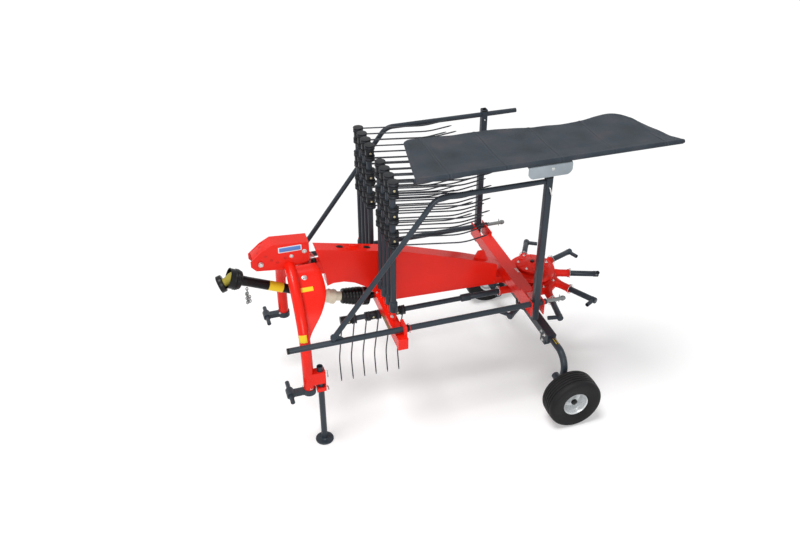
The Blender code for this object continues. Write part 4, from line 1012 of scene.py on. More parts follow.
# %% Cloth finish and the curtain itself
def make_cloth():
    """Weave = sin(u) + sin(v) in the bump; seam lines from the distance to the nearest seam."""
    material = bpy.data.materials.new("curtain_cloth")
    material.use_nodes = True
    nodes, links = material.node_tree.nodes, material.node_tree.links
    shader = nodes["Principled BSDF"]
    shader.inputs["Sheen Weight"].default_value = 0.05
    shader.inputs["Specular IOR Level"].default_value = 0.14
    cut = nodes.new("ShaderNodeUVMap")
    cut.uv_map = "cut"
    parts = nodes.new("ShaderNodeSeparateXYZ")
    links.new(cut.outputs["UV"], parts.inputs["Vector"])

    def math_node(operation, first, second=None, third=None):
        node = nodes.new("ShaderNodeMath")
        node.operation = operation
        for socket, value in zip(node.inputs, (first, second, third)):
            if isinstance(value, (int, float)):
                socket.default_value = value
            elif value is not None:
                links.new(value, socket)
        return node.outputs[0]

    length, width = parts.outputs["X"], parts.outputs["Y"]
    from_seam = math_node("PINGPONG", math_node("SUBTRACT", length, (SEAM_X - CLOTH_LOW[0]) % SEAM_PITCH),
                          SEAM_PITCH / 2)
    seam_line = math_node("COMPARE", from_seam, 0.0, 0.0016)
    stitch_row = math_node("COMPARE", from_seam, 0.009, 0.0009)
    dash = math_node("GREATER_THAN", math_node("FRACT", math_node("MULTIPLY", width, 140.0)), 0.35)
    stitches = math_node("MULTIPLY", stitch_row, dash)
    weave = math_node("ADD", math_node("SINE", math_node("MULTIPLY", length, 4200.0)),
                      math_node("SINE", math_node("MULTIPLY", width, 4200.0)))

    cloud = nodes.new("ShaderNodeTexNoise")
    cloud.inputs["Scale"].default_value = 5.0
    cloud.inputs["Detail"].default_value = 6.0
    links.new(cut.outputs["UV"], cloud.inputs["Vector"])
    ramp = nodes.new("ShaderNodeValToRGB")
    stops = ((0.32, (0.022, 0.029, 0.038)), (0.52, (0.036, 0.047, 0.061)), (0.68, (0.062, 0.062, 0.073)))
    for position, colour in stops[1:-1]:
        ramp.color_ramp.elements.new(position).color = (*colour, 1)
    for element, (position, colour) in zip(ramp.color_ramp.elements, stops):
        element.position, element.color = position, (*colour, 1)
    links.new(cloud.outputs["Fac"], ramp.inputs["Fac"])
    shade = ramp.outputs["Color"]
    for mask, colour in ((seam_line, (0.016, 0.020, 0.026)), (stitches, (0.09, 0.10, 0.12))):
        mix = nodes.new("ShaderNodeMix")
        mix.data_type = "RGBA"
        links.new(mask, mix.inputs["Factor"])
        links.new(shade, mix.inputs[6])
        mix.inputs[7].default_value = (*colour, 1)
        shade = mix.outputs[2]
    links.new(shade, shader.inputs["Base Color"])
    links.new(math_node("MULTIPLY_ADD", cloud.outputs["Fac"], 0.25, 0.45), shader.inputs["Roughness"])
    bump = nodes.new("ShaderNodeBump")
    bump.inputs["Strength"].default_value = 0.35
    bump.inputs["Distance"].default_value = 0.0003
    links.new(math_node("ADD", weave, math_node("MULTIPLY", stitches, 6.0)), bump.inputs["Height"])
    links.new(bump.outputs["Normal"], shader.inputs["Normal"])
    return material


def add_curtain():
    """The grid as one open sheet with its cut as UV, thickened evenly on both sides."""
    points, faces = loft(GRID.transpose(1, 0, 2), caps=False)
    faces = [face for face in faces if abs(face[0] - face[1]) == 1]
    along = np.broadcast_to((GRID[:, :1, 0] - GRID[:, :1, 0].min()), GRID.shape[:2])
    steps = np.linalg.norm(np.diff(GRID, axis=1), axis=-1)
    wide = np.concatenate([np.zeros((ROWS, 1)), np.cumsum(steps, 1)], 1)
    cut = np.stack([along, wide], -1).transpose(1, 0, 2).reshape(-1, 2)
    mesh = new_mesh("swath_curtain", points, faces)
    corner = np.empty(len(mesh.loops), int)
    mesh.loops.foreach_get("vertex_index", corner)
    mesh.uv_layers.new(name="cut").data.foreach_set("uv", cut[corner].ravel())
    piece = new_object("swath_curtain", mesh)
    FINISHES["cloth"] = make_cloth()
    settle_in(piece, "cloth", "left_guard", ["curtain"])
    thick = piece.modifiers.new("cloth thickness", "SOLIDIFY")
    thick.thickness = CLOTH_THICK
    thick.offset = 0.0
    return piece


sheet = add_curtain()
print("curtain has", len(sheet.data.polygons), "faces")

# %% [markdown]
# ## Headstock
# The headstock is a bent tube, an arch that the drive shaft passes through, with a folded gusset on each
# side that reaches back to the swivel. The arch is a circle carried along a smooth curve. Each gusset is a
# sheet between the arch and a curved rear edge, with a narrow flange folded along that edge.

# %% Arch tube and gussets
PIVOT_X = node_middle("kingpin")[0]
ARCH_X, ARCH_R, SHEET_HALF = PIVOT_X + 0.094, 0.035, 0.004
FOOT_Z = 0.473
ARCH_ROWS = [(0.430, FOOT_Z), (0.430, 0.62), (0.418, 0.76), (0.385, 0.87), (0.325, 0.965), (0.235, 1.055),
             (0.12, 1.135), (0.0, 1.165)]
# across, up, and how far back the sheet reaches
GUSSET_ROWS = np.array([(0.408, 0.70, 0.0), (0.400, 0.75, 0.02), (0.366, 0.835, 0.05), (0.300, 0.945, 0.14),
                        (0.215, 1.03, 0.19), (0.10, 1.105, 0.19), (0.066, 1.165, 0.16)])


def arch_tube():
    """Smooth curve through the rows of one half, and the same rows mirrored for the other half."""
    rows = [(ARCH_X, y, z) for y, z in ARCH_ROWS] + [(ARCH_X, -y, z) for y, z in ARCH_ROWS[-2::-1]]
    return swept(spline(rows, 7), ARCH_R, 32, hint=(1, 0, 0))


def gusset():
    """Rows from the arch back to the rear edge, with a flange folded along that edge."""
    rows = spline(GUSSET_ROWS, 8)
    y, z, deep = rows[:, 0], rows[:, 1], np.maximum(rows[:, 2], 0.004)
    slope = unit(np.gradient(rows[:, :2], axis=0))
    normal = np.stack([slope[:, 1], -slope[:, 0]], -1) * np.sign(slope[:, 1] * y)[:, None]
    share = np.array([0.0, 0.25, 0.5, 0.75, 0.96, 1.0])
    outer_x = ARCH_X - 0.012 - (deep[:, None] - 0.012) * share
    fold = np.array([0, 0, 0, 0, 0, -0.004])
    rings = []
    for face in (1, -1):
        offset = face * SHEET_HALF + fold
        points = np.stack([outer_x, y[:, None] + normal[:, :1] * offset,
                           z[:, None] + normal[:, 1:] * offset], -1)
        rings.append(points if face > 0 else points[:, ::-1])
    return loft(np.concatenate(rings, 1))


def lug_plate(z, half, front, rear, thick=0.012):
    """A horizontal plate with a round rear end, square to the kingpin: an outline carried upward."""
    turn = np.linspace(-math.pi / 2, math.pi / 2, 15)
    nose = np.stack([rear + 0.040 * (1 - np.cos(turn)), 0.040 * np.sin(turn) * -1], -1)
    outline = np.concatenate([nose,
                              [[front - 0.02, -half], [front, -half], [front, half], [front - 0.02, half]]])
    return loft([np.column_stack([outline, np.full(len(outline), level)])
                 for level in (z, z + 0.001, z + thick - 0.001, z + thick)])


KING_LOW, KING_HIGH = node_box("kingpin")
left_gusset = gusset()
lugs = join(lug_plate(KING_LOW[2] + 0.010, 0.215, ARCH_X - 0.016, PIVOT_X - 0.040),
            lug_plate(KING_HIGH[2] - 0.022, 0.044, ARCH_X - 0.016, PIVOT_X - 0.040))
head_steel = join(arch_tube(), left_gusset, mirrored(left_gusset), lugs)
add_piece("arch_and_gussets", head_steel, "red_paint", "headstock", ["headstock_arch"])
for name, level, way in (("upper", KING_HIGH[2] - 0.009, 1), ("lower", KING_LOW[2] + 0.002, -1)):
    add_piece(f"kingpin_nut_{name}", bolt((PIVOT_X, 0, level), (0, 0, way), 0.026, 0.004), "zinc",
              "headstock")
print("arch", round(2 * ARCH_R, 3), "m tube")

# %% [markdown]
# ## Stand
# The stand is a bare tube on a round dished foot. It slides in a sleeve behind the left foot of the arch and
# is held by two pins. The pins are bent from round bar, with a ring at the end, and stay with the sleeve.

# %% Stand leg and its pins
STAND_X, STAND_Y = node_middle("stand_leg")[:2]
STAND_TOP = node_box("stand_leg")[1][2]
STAND_R = 0.020
stand = join(
    turned([(STAND_R, 0.006), (STAND_R, STAND_TOP - 0.001), (STAND_R - 0.001, STAND_TOP),
            (STAND_R - 0.003, STAND_TOP), (STAND_R - 0.003, STAND_TOP - 0.06)],
           (STAND_X, STAND_Y, 0), (0, 0, 1), 36),
    turned([(0.002, 0.0), (0.056, 0.0), (0.0600, 0.0025), (0.0600, 0.0085), (0.0575, 0.0115), (0.050, 0.012),
            (0.026, 0.0105), (0.0235, 0.0140), (0.0200, 0.0180)], (STAND_X, STAND_Y, 0), (0, 0, 1), 48))
add_piece("stand_tube_and_foot", stand, "slate_paint", "stand", ["stand_leg"])


def bent_pin(place, axis, reach, drop, wire=0.0045):
    """Straight through the part along `axis`, then one bend and a run down `drop`."""
    place, axis = np.asarray(place, float), unit(axis)
    far = place + axis * reach
    path = arc_path([place - axis * reach, far, far + np.asarray(drop, float)], 0.008, 8, 4)
    return swept(path, wire, 12, hint=(0.3, 0.2, 0.9))


stand_pins = join(
    bent_pin((STAND_X, STAND_Y, 0.587), (-1, 0, 0), 0.048, (0, 0.004, -0.05)),
    ring((STAND_X + 0.036, STAND_Y, 0.587), (0, 1, 0), 0.010, 0.0013),
    bent_pin((STAND_X, STAND_Y, 0.460), (-1, 0, 0), 0.044, (0, 0.030, -0.010)))
add_piece("stand_pins", stand_pins, "zinc", "headstock")
print("stand", round(STAND_TOP, 3), "m tall")

# %% [markdown]
# ## Drive shaft
# A shaft with two universal joints runs from the clutch through the arch. Its guard is a black plastic tube
# with a ribbed bellows at the front, where it covers the joint, and a steel ring round the quick coupling.
# Every part of it is turned round one of three lines: clutch to rear joint, joint to joint, joint to nose.

# %% The shaft's three lines
CLUTCH_TAIL = np.array([node_box("front_crossbar")[1][0] + 0.035, 0.0, 0.785])
REAR_JOINT = np.array([node_middle("front_crossbar")[0] + 0.3275, 0.0, 0.839])
FRONT_JOINT = np.array([PIVOT_X + 0.452, 0.0, 1.105])
NOSE = np.array([PIVOT_X + 0.537, 0.0, 1.075])
TO_FRONT, TO_CLUTCH = unit(FRONT_JOINT - REAR_JOINT), unit(CLUTCH_TAIL - REAR_JOINT)
TO_NOSE = unit(NOSE - FRONT_JOINT)
CLUTCH_LENGTH = float(np.linalg.norm(CLUTCH_TAIL - REAR_JOINT)) - 0.075
TUBE_START, TUBE_END = REAR_JOINT + 0.0553 * TO_FRONT, FRONT_JOINT - 0.0553 * TO_FRONT


def clutch_cover():
    """A drum with a groove for its clamp, then a cone whose radius carries small round ribs."""
    share = np.linspace(0, 1, 41)
    rib = 0.0030 * np.abs(np.sin(share * 5 * math.pi))
    cone = np.stack([0.0600 - 0.0120 * share + rib, 0.078 + share * (CLUTCH_LENGTH - 0.082)], -1)
    drum = [(0.024, 0.0), (0.0490, 0.0), (0.0575, 0.0015), (0.0610, 0.006), (0.0620, 0.040), (0.0580, 0.0425),
            (0.0580, 0.0575), (0.0620, 0.060), (0.0620, 0.0745)]
    return turned(np.concatenate([drum, cone, [(0.030, CLUTCH_LENGTH)]]), CLUTCH_TAIL, -TO_CLUTCH, 56)


clutch_stub = turned([(0.006, 0.0), (0.0205, 0.0), (0.022, 0.0015), (0.022, 0.055)],
                     (node_box("front_crossbar")[1][0] + 0.0003, 0, 0.785), (1, 0, 0), 32)
add_piece("clutch_cover", join(clutch_cover(), clutch_stub), "black_plastic", "frame", ["clutch_guard"])
clutch_clamp = join(
    turned([(0.0577, 0.0), (0.0600, 0.0), (0.0600, 0.0115), (0.0577, 0.0115)],
           CLUTCH_TAIL - 0.0442 * TO_CLUTCH,
           -TO_CLUTCH, 56, closed=True),
    bolt(CLUTCH_TAIL - 0.050 * TO_CLUTCH + [0, 0.0600, 0.004], (0.1, 1, 0.1), 0.010, 0.002))
add_piece("clutch_clamp", clutch_clamp, "zinc")
print("clutch cover", round(CLUTCH_LENGTH, 3), "m long")

# %% Rear joint and guard tube
joint_cover = turned([(0.020, -0.032), (0.0455, -0.032), (0.0490, -0.028), (0.0490, -0.010), (0.0455, -0.007),
                      (0.0450, 0.012), (0.0470, 0.014), (0.0470, 0.020), (0.0435, 0.023), (0.0375, 0.040),
                      (0.0362, 0.050), (0.0345, 0.055), (0.020, 0.055)], REAR_JOINT, TO_FRONT, 48)
knuckle = turned([(0.012, 0.0), (0.0355, 0.0), (0.0355, 0.020), (0.0335, 0.024), (0.0310, 0.045),
                  (0.0310, 0.0727),
                  (0.012, 0.0727)], REAR_JOINT, TO_CLUTCH, 40)
add_piece("rear_joint_cover", join(joint_cover, knuckle), "cream_plastic", "frame", ["rear_yoke"])
cover_screws = [REAR_JOINT + 0.0478 * unit(np.cross(TO_FRONT, (0, math.cos(a), math.sin(a))))
                for a in (0.3, 1.6, 2.8)]
add_piece("joint_cover_screws", join(*[bolt(spot - 0.012 * TO_FRONT, spot - REAR_JOINT, 0.006, 0.001)
                                       for spot in cover_screws]), "zinc")


def guard_tube():
    """Smooth tube with a thicker collar at each end and a joint line where the two halves telescope."""
    length = float(np.linalg.norm(TUBE_END - TUBE_START))
    r = 0.0325
    rows = [(0.020, 0.0), (r - 0.001, 0.0), (r, 0.001), (r, 0.030), (r - 0.0025, 0.032),
            (r - 0.0025, 0.56 * length),
            (r - 0.0010, 0.56 * length + 0.001), (r - 0.0010, length - 0.034), (r, length - 0.032), (r,
                                                                                                     length),
            (0.020, length)]
    return turned(rows, TUBE_START, TO_FRONT, 44)


add_piece("shaft_guard_tube", guard_tube(), "black_plastic", "frame", ["pto_tube"])


def band(start_x, end_x, radius, line_start, line):
    """A thin sleeve round a line, between two places along X."""
    first, last = ((x - line_start[0]) / line[0] for x in (start_x, end_x))
    rows = [(radius - 0.0012, first), (radius, first), (radius, last), (radius - 0.0012, last)]
    return turned(rows, line_start, line, 44, closed=True)


add_piece("shaft_band", band(1.767, 1.855, 0.0318, TUBE_START, TO_FRONT), "label_yellow")
print("guard tube", round(float(np.linalg.norm(TUBE_END - TUBE_START)), 3), "m long")

# %% [markdown]
# The bellows is the same idea with more and deeper ribs: its radius is a straight cone plus |sin|, which has
# round crests and sharp valleys, as a moulded bellows has. The coupling ring is a shallow cup round the yoke.

# %% Bellows, yoke and coupling ring
def bellows():
    """A cone and a cylinder with ribs |sin|, a rolled lip, then back inside, so the mouth has a wall."""
    share = np.linspace(0, 1, 81)
    length = 0.076
    cone = 0.0520 + 0.0120 * np.minimum(share / 0.35, 1)
    rib = 0.0042 * np.abs(np.sin(np.minimum(share / 0.62, 1) * 4.0 * math.pi))
    outside = np.stack([cone + rib, share * length], -1)
    lip = [(0.0665, length + 0.001), (0.0672, length + 0.004), (0.0660, length + 0.006),
           (0.0630, length + 0.005)]
    inside = [(0.0600, length - 0.004), (0.0490, 0.006), (0.0335, 0.004), (0.0330, -0.0005)]
    neck = [(0.0350, -0.0005), (0.0365, 0.0005), (0.0500, 0.0008)]
    profile = np.concatenate([neck, outside, lip, inside])
    return turned(profile, FRONT_JOINT - 0.0550 * TO_FRONT, TO_FRONT, 72, closed=True)


add_piece("joint_bellows", bellows(), "black_plastic", "frame", ["pto_cone"])


def yoke_fork():
    """From a wide, nearly square fork over the joint to the round splined barrel."""
    distance = np.array([-0.030, -0.026, -0.010, 0.010, 0.024, 0.034, 0.042, 0.046, 0.077, 0.079])
    share = np.clip((distance - 0.006) / 0.036, 0, 1)[:, None]
    side, up = across(TO_NOSE, (0, 0, 1))
    end = np.array([0.9] + [1.0] * 8 + [0.95])[:, None]
    width = (0.040 * (1 - share) + 0.0275 * share) * end
    height = (0.033 * (1 - share) + 0.0275 * share) * end
    power = 0.5 * (1 - share) + 1.0 * share
    flat, tall = superellipse(width, height, power, 40)
    centre = FRONT_JOINT + distance[:, None] * TO_NOSE
    return loft(centre[:, None] + flat[..., None] * side + tall[..., None] * up)


add_piece("coupling_yoke", yoke_fork(), "joint_yellow", "frame", ["pto_yoke"])
ring_rows = [(0.0280, 0.056), (0.0500, 0.056), (0.0545, 0.058), (0.0560, 0.062), (0.0560, 0.0865),
             (0.0550, 0.0895), (0.0535, 0.0900), (0.0520, 0.0885), (0.0515, 0.066), (0.0500, 0.063),
             (0.0280, 0.062)]
add_piece("coupling_ring", turned(ring_rows, FRONT_JOINT, TO_NOSE, 64, closed=True), "black_plastic", "frame",
          ["pto_bell"])
bore = turned([(0.0268, 0.0788), (0.0268, 0.0802), (0.0190, 0.0802), (0.0175, 0.079), (0.0175, 0.0792)],
              FRONT_JOINT, TO_NOSE, 40, closed=True)
add_piece("coupling_bore", bore, "zinc")


def chain(top, links, pitch, wire):
    """Flattened rings one below the other, each a quarter turn from the last."""
    parts = []
    for number in range(links):
        points, faces = ring((0, 0, 0), (1, 0, 0) if number % 2 else (0, 1, 0), pitch * 0.42, wire, 18)
        stretch = np.where(np.abs(points[:, 2:]) > 0, 1.55, 1.0)
        points = points * np.concatenate([np.ones((len(points), 2)), stretch], 1)
        parts.append((points + np.asarray(top, float) - [0, 0, number * pitch], faces))
    return join(*parts)


chain_top = FRONT_JOINT + [-0.080, 0.034, -0.072]
chain_runs = [chain(chain_top + shift, links, 0.0165, 0.0026)
              for links, shift in ((7, [0, 0, 0]), (5, [0.008, 0.010, -0.030]), (3, [-0.010, 0.014, -0.052]))]
add_piece("guard_chain", join(*chain_runs), "bare_steel")
print("bellows, yoke, ring and chain")

# %% [markdown]
# ## Small fittings
# Bolts, stops and blank labels sit on the steel, so their places are found by asking the mesh: a ray is sent
# towards the part and the piece is put where it lands, square to the face that it meets.

# %% Where a ray meets a part
def touch(part, start, direction):
    """The place where a ray first meets a part, and the face's normal there."""
    points, faces = part
    tree = BVHTree.FromPolygons([tuple(point) for point in points], faces)
    place, normal, _, _ = tree.ray_cast(Vector(start), Vector(direction))
    if place is None:
        raise ValueError(f"nothing from {start} along {direction}")
    normal = np.array(normal)
    return np.array(place), normal if normal @ np.asarray(direction, float) < 0 else -normal


def node_part(node):
    """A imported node's points and triangles, in the rotor's own coordinates."""
    mesh = frame["nodes"][node].data
    points = np.empty(len(mesh.vertices) * 3)
    mesh.vertices.foreach_get("co", points)
    return points.reshape(-1, 3) - [ROTOR_X, 0, 0], [list(face.vertices) for face in mesh.polygons]


BEAM, BRACKET, CROSSBAR = node_part("main_beam"), node_part("top_link_bracket"), node_part("front_crossbar")


def label(part, start, direction, width, height, hint, thick=0.0005, radius=0.004):
    """A thin plate with round corners, seated where a ray meets the part."""
    stations = [(-0.0008, 1.0), (thick * 0.6, 1.0), (thick, 0.985)]
    return solid(rounded_box(width, height, radius), stations, *touch(part, start, direction), hint)


def fixed_bolt(part, start, direction, size=0.012, shank=0.003):
    """A bolt seated where a ray meets the part."""
    return bolt(*touch(part, start, direction), size, shank)


DOWN, INWARD = (0, 0, -1), (0, -1, 0)
print("beam's top at its middle:", round(float(touch(BEAM, (1.0, 0, 2), DOWN)[0][2]), 3))

# %% Gearbox cover
GEARBOX = node_part("gearbox")
COVER_Z = float(touch(GEARBOX, (-0.05, 0.0, 2), DOWN)[0][2])
cover = turned([(0.010, -0.001), (0.112, -0.001), (0.114, 0.001), (0.114, 0.006), (0.111, 0.009),
                (0.072, 0.011),
                (0.066, 0.014), (0.046, 0.017), (0.042, 0.0205), (0.030, 0.0215), (0.004, 0.0216)],
               (0, 0, COVER_Z), (0, 0, 1), 96)
rib_angles = np.arange(6) * math.tau / 6 + 0.2
ribs = [bar(rounded_box(0.008, 0.012, 0.002), polar(0.040, a, COVER_Z + 0.012),
            polar(0.106, a, COVER_Z + 0.008))
        for a in rib_angles]
bosses = [turned([(0.004, -0.004), (0.0135, -0.002), (0.0125, 0.0125), (0.0110, 0.0140), (0.004, 0.0140)],
                 polar(0.098, a, COVER_Z), (0, 0, 1), 24) for a in rib_angles + 0.52]
add_piece("gearbox_cover", join(cover, *ribs, *bosses), "red_casting")
cover_bolts = [bolt(polar(0.098, a, COVER_Z + 0.0138), (0, 0, 1), 0.010) for a in rib_angles + 0.52]
add_piece("gearbox_bolts", join(*cover_bolts), "zinc")
plug_top = turned([(0.002, -0.002), (0.0150, -0.002), (0.0155, 0.002), (0.0140, 0.0085), (0.006, 0.0100),
                   (0.001, 0.0100)], (0, 0, COVER_Z + 0.0212), (0, 0, 1), 32)
add_piece("gearbox_plug", plug_top, "black_plastic")
print("gearbox cover at z =", round(COVER_Z, 3))

# %% Beam, bracket and headstock fittings
GROMMET = [(-0.001, 1.0), (0.002, 1.0), (0.0035, 0.9), (0.0036, 0.6), (0.0012, 0.5)]
grommets = [solid(rounded_box(0.046, 0.026, 0.0125, 8), GROMMET, *touch(BEAM, (x, 0, 2), DOWN),
                  hint=(0, 1, 0))
            for x in (1.20, 1.38)]
add_piece("beam_grommets", join(*grommets), "black_plastic")
tab = solid(rounded_box(0.012, 0.060, 0.005), [(-0.002, 1.0), (0.017, 0.95), (0.020, 0.85)],
            *touch(BEAM, (1.29, 0, 2), DOWN), hint=(1, 0, 0))
add_piece("beam_tab", tab, "red_paint")
rubber_stop = turned([(0.004, -0.001), (0.0165, -0.001), (0.0180, 0.002), (0.0170, 0.022), (0.0125, 0.027),
                      (0.001, 0.028)], *touch(BEAM, (1.556, 0.026, 2), DOWN), 32)
add_piece("rubber_stop", rubber_stop, "black_plastic")
headstock_bolts = [fixed_bolt(BRACKET, (1.617, 0.5, 1.256), INWARD, 0.016),
                   fixed_bolt(BRACKET, (1.700, 0.5, 1.235), INWARD, 0.013),
                   fixed_bolt(left_gusset, (1.640, 0.115, 2), DOWN, 0.018)]
add_pair("headstock_bolts", join(*headstock_bolts), "zinc", "headstock")
blue_size = (0.135, 0.030)
border = label(BRACKET, (1.706, 0.5, 1.289), INWARD, blue_size[0] + 0.012, blue_size[1] + 0.010, (0, 0, 1))
field = label(BRACKET, (1.706, 0.5, 1.289), INWARD, *blue_size, (0, 0, 1), thick=0.0009)
add_piece("bracket_label_border", border, "label_white", "headstock")
add_piece("bracket_label_field", field, "label_blue", "headstock")
gusset_label = label(left_gusset, (1.640, 0.185, 2), DOWN, 0.030, 0.078, (1, 0, 0))
add_piece("gusset_label", gusset_label, "label_yellow", "headstock")
nose_line = [(PIVOT_X + 0.188, 1.3335), (PIVOT_X + 0.257, 1.299), (PIVOT_X + 0.318, 1.2475)]
nose_path = np.array([(x, 0, z) for x, z in nose_line])
nose_half = node_box("top_link_bracket")[1][1] - 0.009
nose_sheet = swept(arc_path(nose_path, 0.05, 6, 3) - [0.001, 0, 0.0045], 1.0,
                   section=rounded_box(2 * nose_half, 0.006, 0.002), hint=(0, 0, 1))
add_piece("bracket_nose_sheet", nose_sheet, "red_paint", "headstock")
# Black discs stand for the bracket's holes: their black is painted shade inside the holes
SHADED_HOLE_DISC = [(0.0062, -0.002), (0.0070, 0.0004), (0.0060, 0.0008), (0.0045, -0.001), (0.0004, -0.001)]
hole_spots = [touch(nose_sheet, (x, y, 2), DOWN) for x,
              y in ((1.835, 0.020), (1.885, -0.012), (1.905, 0.022))]
hole_spots += [touch(BRACKET, (x, 0.5, z), INWARD)
               for x, z in ((1.739, 1.230), (1.790, 1.205), (1.825, 1.228), (1.860, 1.262))]
add_piece("bracket_hole_shade", join(*[turned(SHADED_HOLE_DISC, *spot, 24) for spot in hole_spots]), "black_plastic",
          "headstock")
pin_rings = [ring((node_middle("top_link_pin")[0], face * 0.068, 1.215), (0, 1, 0), 0.016, 0.0014)
             for face in (1, -1)]
add_piece("top_pin_rings", join(*pin_rings), "zinc", "headstock")
print("fittings on the headstock")


# %% Label on the arch leg, hitch pins' clips
def arch_patch(low_z, high_z, first, last):
    """Part of the arch's skin: an arc of its circle, in and out, carried between two heights."""
    path = spline([(ARCH_X, y, z) for y, z in ARCH_ROWS], 24)
    path = path[(path[:, 2] > low_z) & (path[:, 2] < high_z)]
    turn = np.radians(np.linspace(first, last, 13))
    arc = np.stack([np.cos(turn), np.sin(turn)], -1)
    section = np.concatenate([arc * (ARCH_R + 0.0005), arc[::-1] * (ARCH_R - 0.0008)])
    return swept(path, 1.0, section=section, hint=(1, 0, 0))


add_piece("arch_label", arch_patch(0.825, 0.872, 104, 200), "label_yellow", "headstock")
HITCH_TOP = node_box("left_hitch_bracket")[1][2]
hitch_bolts = [bolt((ARCH_X - 0.0075, 0.455, HITCH_TOP + 0.0005), (0, 0, 1), 0.014, 0.004),
               bolt((ARCH_X + 0.030, 0.405, HITCH_TOP - 0.012), (0, 0, 1), 0.010, 0.002)]
add_pair("hitch_bolts", join(*hitch_bolts), "zinc", "headstock")
print("labels and hitch bolts")

# %% Crossbar fittings
BAR_FRONT = node_box("front_crossbar")[1][0]
# A thin ochre plate on the crossbar's front face: a painted reflection of the floor and painted shade in the
# channel
reflection_plate = solid(rounded_box(0.196, 0.040, 0.006), [(-0.001, 1.0), (0.0008, 1.0), (0.0012, 0.985)],
              (BAR_FRONT, 0.322, 0.777), (1, 0, 0), hint=(0, 0, 1))
add_piece("crossbar_painted_reflection", reflection_plate, "ochre_painted_reflection")
bush = turned([(0.0193, 0.0), (0.0240, 0.001), (0.0245, 0.003), (0.0245, 0.018), (0.0240, 0.020),
               (0.0193, 0.021)],
              (node_box("front_crossbar")[0][0] - 0.0225, GUARD_Y, GUARD_Z), (1, 0, 0), 32)
lug_clip = ring((1.075, GUARD_Y, GUARD_Z), (1, 0.1, 0), 0.0285, 0.0016, 40)
add_pair("lug_bush", bush, "black_plastic", "SIDE_guard")
add_pair("lug_clip", lug_clip, "red_paint", "SIDE_guard")
add_pair("lug_bolt", fixed_bolt(CROSSBAR, (1.145, 0.9, 0.868), INWARD, 0.012), "zinc")
clip_path = arc_path([(0.171, 0.100, 0.862), (0.171, 0.155, 0.862), (0.185, 0.155, 0.874),
                      (0.185, 0.105, 0.866)],
                     0.006, 6, 4)
add_piece("crossbar_spring_clip", swept(clip_path, 0.0022, 10, hint=(0.6, 0.1, 0.8)), "zinc")
foot_bolts = [fixed_bolt(CROSSBAR, (x, y, 2), DOWN, 0.010) for y in (0.045, -0.090) for x in (1.115, 1.150)]
add_piece("crossbar_bolts", join(*foot_bolts), "zinc")
print(TALLY["pieces"], "pieces with", TALLY["faces"], "faces")

# %% [markdown]
# ## Floor, light and camera
# A pale floor that keeps the machine's soft shadow, a white surrounding, one wide soft sun and one lamp. The
# sun stands high and a little ahead, so the shadow lies under the machine and to its rear, and it lights the
# floor evenly out to the horizon. The lamp stands on the machine's left and lifts that side. Rays from the
# camera, and mirrored ones, see a slightly brighter floor and a white sky; what they light is set apart.

# %% Floor and sky
SEEN_RAYS = ("Is Camera Ray", "Is Glossy Ray", "Is Transmission Ray")


def ray_switch(nodes, links):
    """1 for a ray of a kind in SEEN_RAYS, else 0."""
    path = nodes.new("ShaderNodeLightPath")
    total = path.outputs[SEEN_RAYS[0]]
    for kind in SEEN_RAYS[1:]:
        larger = nodes.new("ShaderNodeMath")
        larger.operation = "MAXIMUM"
        links.new(total, larger.inputs[0])
        links.new(path.outputs[kind], larger.inputs[1])
        total = larger.outputs[0]
    return total


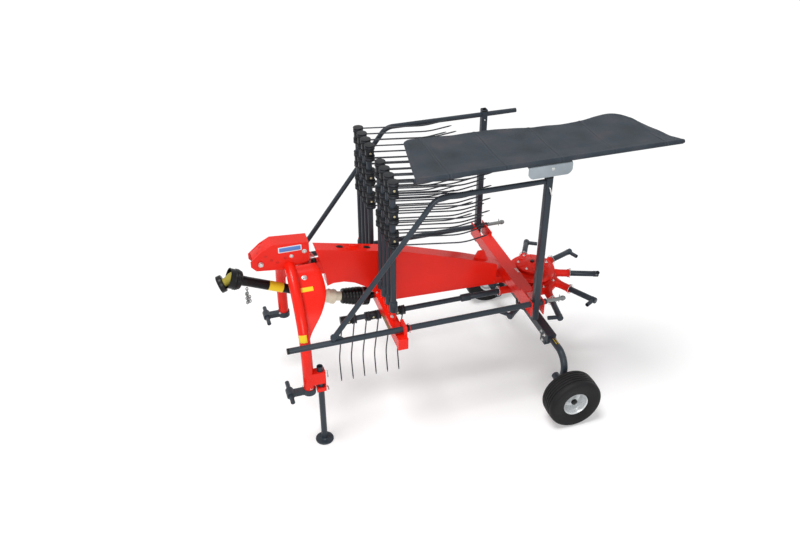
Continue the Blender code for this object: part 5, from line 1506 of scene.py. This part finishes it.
def make_floor():
    """A flat square far larger than the machine; camera rays get its shading plus a little white."""
    mesh = bpy.data.meshes.new("floor")
    corners = np.array([(-1, -1), (1, -1), (1, 1), (-1, 1)]) * FLOOR_HALF
    mesh.from_pydata(np.column_stack([corners, np.zeros(4)]).tolist(), [], [[0, 1, 2, 3]])
    floor = new_object("floor", mesh)
    material = bpy.data.materials.new("studio_floor")
    material.use_nodes = True
    nodes, links = material.node_tree.nodes, material.node_tree.links
    nodes.clear()
    output = nodes.new("ShaderNodeOutputMaterial")
    matte, glow = nodes.new("ShaderNodeBsdfDiffuse"), nodes.new("ShaderNodeEmission")
    matte.inputs["Color"].default_value = (0.80, 0.80, 0.80, 1)
    glow.inputs["Strength"].default_value = 0.26
    both, seen = nodes.new("ShaderNodeAddShader"), nodes.new("ShaderNodeMixShader")
    links.new(matte.outputs[0], both.inputs[0])
    links.new(glow.outputs[0], both.inputs[1])
    links.new(ray_switch(nodes, links), seen.inputs[0])
    links.new(matte.outputs[0], seen.inputs[1])
    links.new(both.outputs[0], seen.inputs[2])
    links.new(seen.outputs[0], output.inputs["Surface"])
    floor.data.materials.append(material)


def make_sky(light):
    """White for the camera and in reflections, and `light` for everything that it lights."""
    world = bpy.data.worlds.new("studio")
    bpy.context.scene.world = world
    world.use_nodes = True
    nodes, links = world.node_tree.nodes, world.node_tree.links
    nodes.clear()
    output, seen = nodes.new("ShaderNodeOutputWorld"), nodes.new("ShaderNodeMixShader")
    shades = []
    for strength in (light, 1.0):
        background = nodes.new("ShaderNodeBackground")
        background.inputs["Color"].default_value = (1, 1, 1, 1)
        background.inputs["Strength"].default_value = strength
        shades.append(background)
    links.new(ray_switch(nodes, links), seen.inputs[0])
    links.new(shades[0].outputs[0], seen.inputs[1])
    links.new(shades[1].outputs[0], seen.inputs[2])
    links.new(seen.outputs[0], output.inputs["Surface"])


FLOOR_HALF = 30.0
make_floor()
make_sky(0.34)
print("floor and sky")


# %% Lamps and camera
def aim(thing, target):
    """Turns a lamp or camera so that its -Z axis points at the target."""
    thing.rotation_euler = (Vector(target) - thing.location).to_track_quat("-Z", "Y").to_euler()


def soft_lamp(name, place, size, power):
    """A square area lamp that looks at the middle of the machine."""
    data = bpy.data.lights.new(name, "AREA")
    data.size, data.energy = size, power
    lamp = new_object(name, data)
    lamp.location = place
    aim(lamp, (0, 0, 0.7))


soft_lamp("side_lamp", (1.6, 5.6, 3.4), 2.6, 150.0)
sun_data = bpy.data.lights.new("soft_sun", "SUN")
sun_data.energy, sun_data.angle = 2.0, math.radians(24)
sun = new_object("soft_sun", sun_data)
sun.location = (1.8, 0.3, 6.0)
aim(sun, (0, 0, 0))

lens = bpy.data.cameras.new("camera")
lens.sensor_width, lens.lens = 36.0, 38.219
camera = new_object("camera", lens)
camera.location = (ROTOR_X + 2.368, 4.4873, 4.1223)
camera.rotation_euler = [math.radians(angle) for angle in (56.184463, 0.158271, 162.652581)]
bpy.context.scene.camera = camera
bpy.context.scene.view_settings.view_transform = "Standard"
print("camera at", [round(value, 3) for value in camera.location])
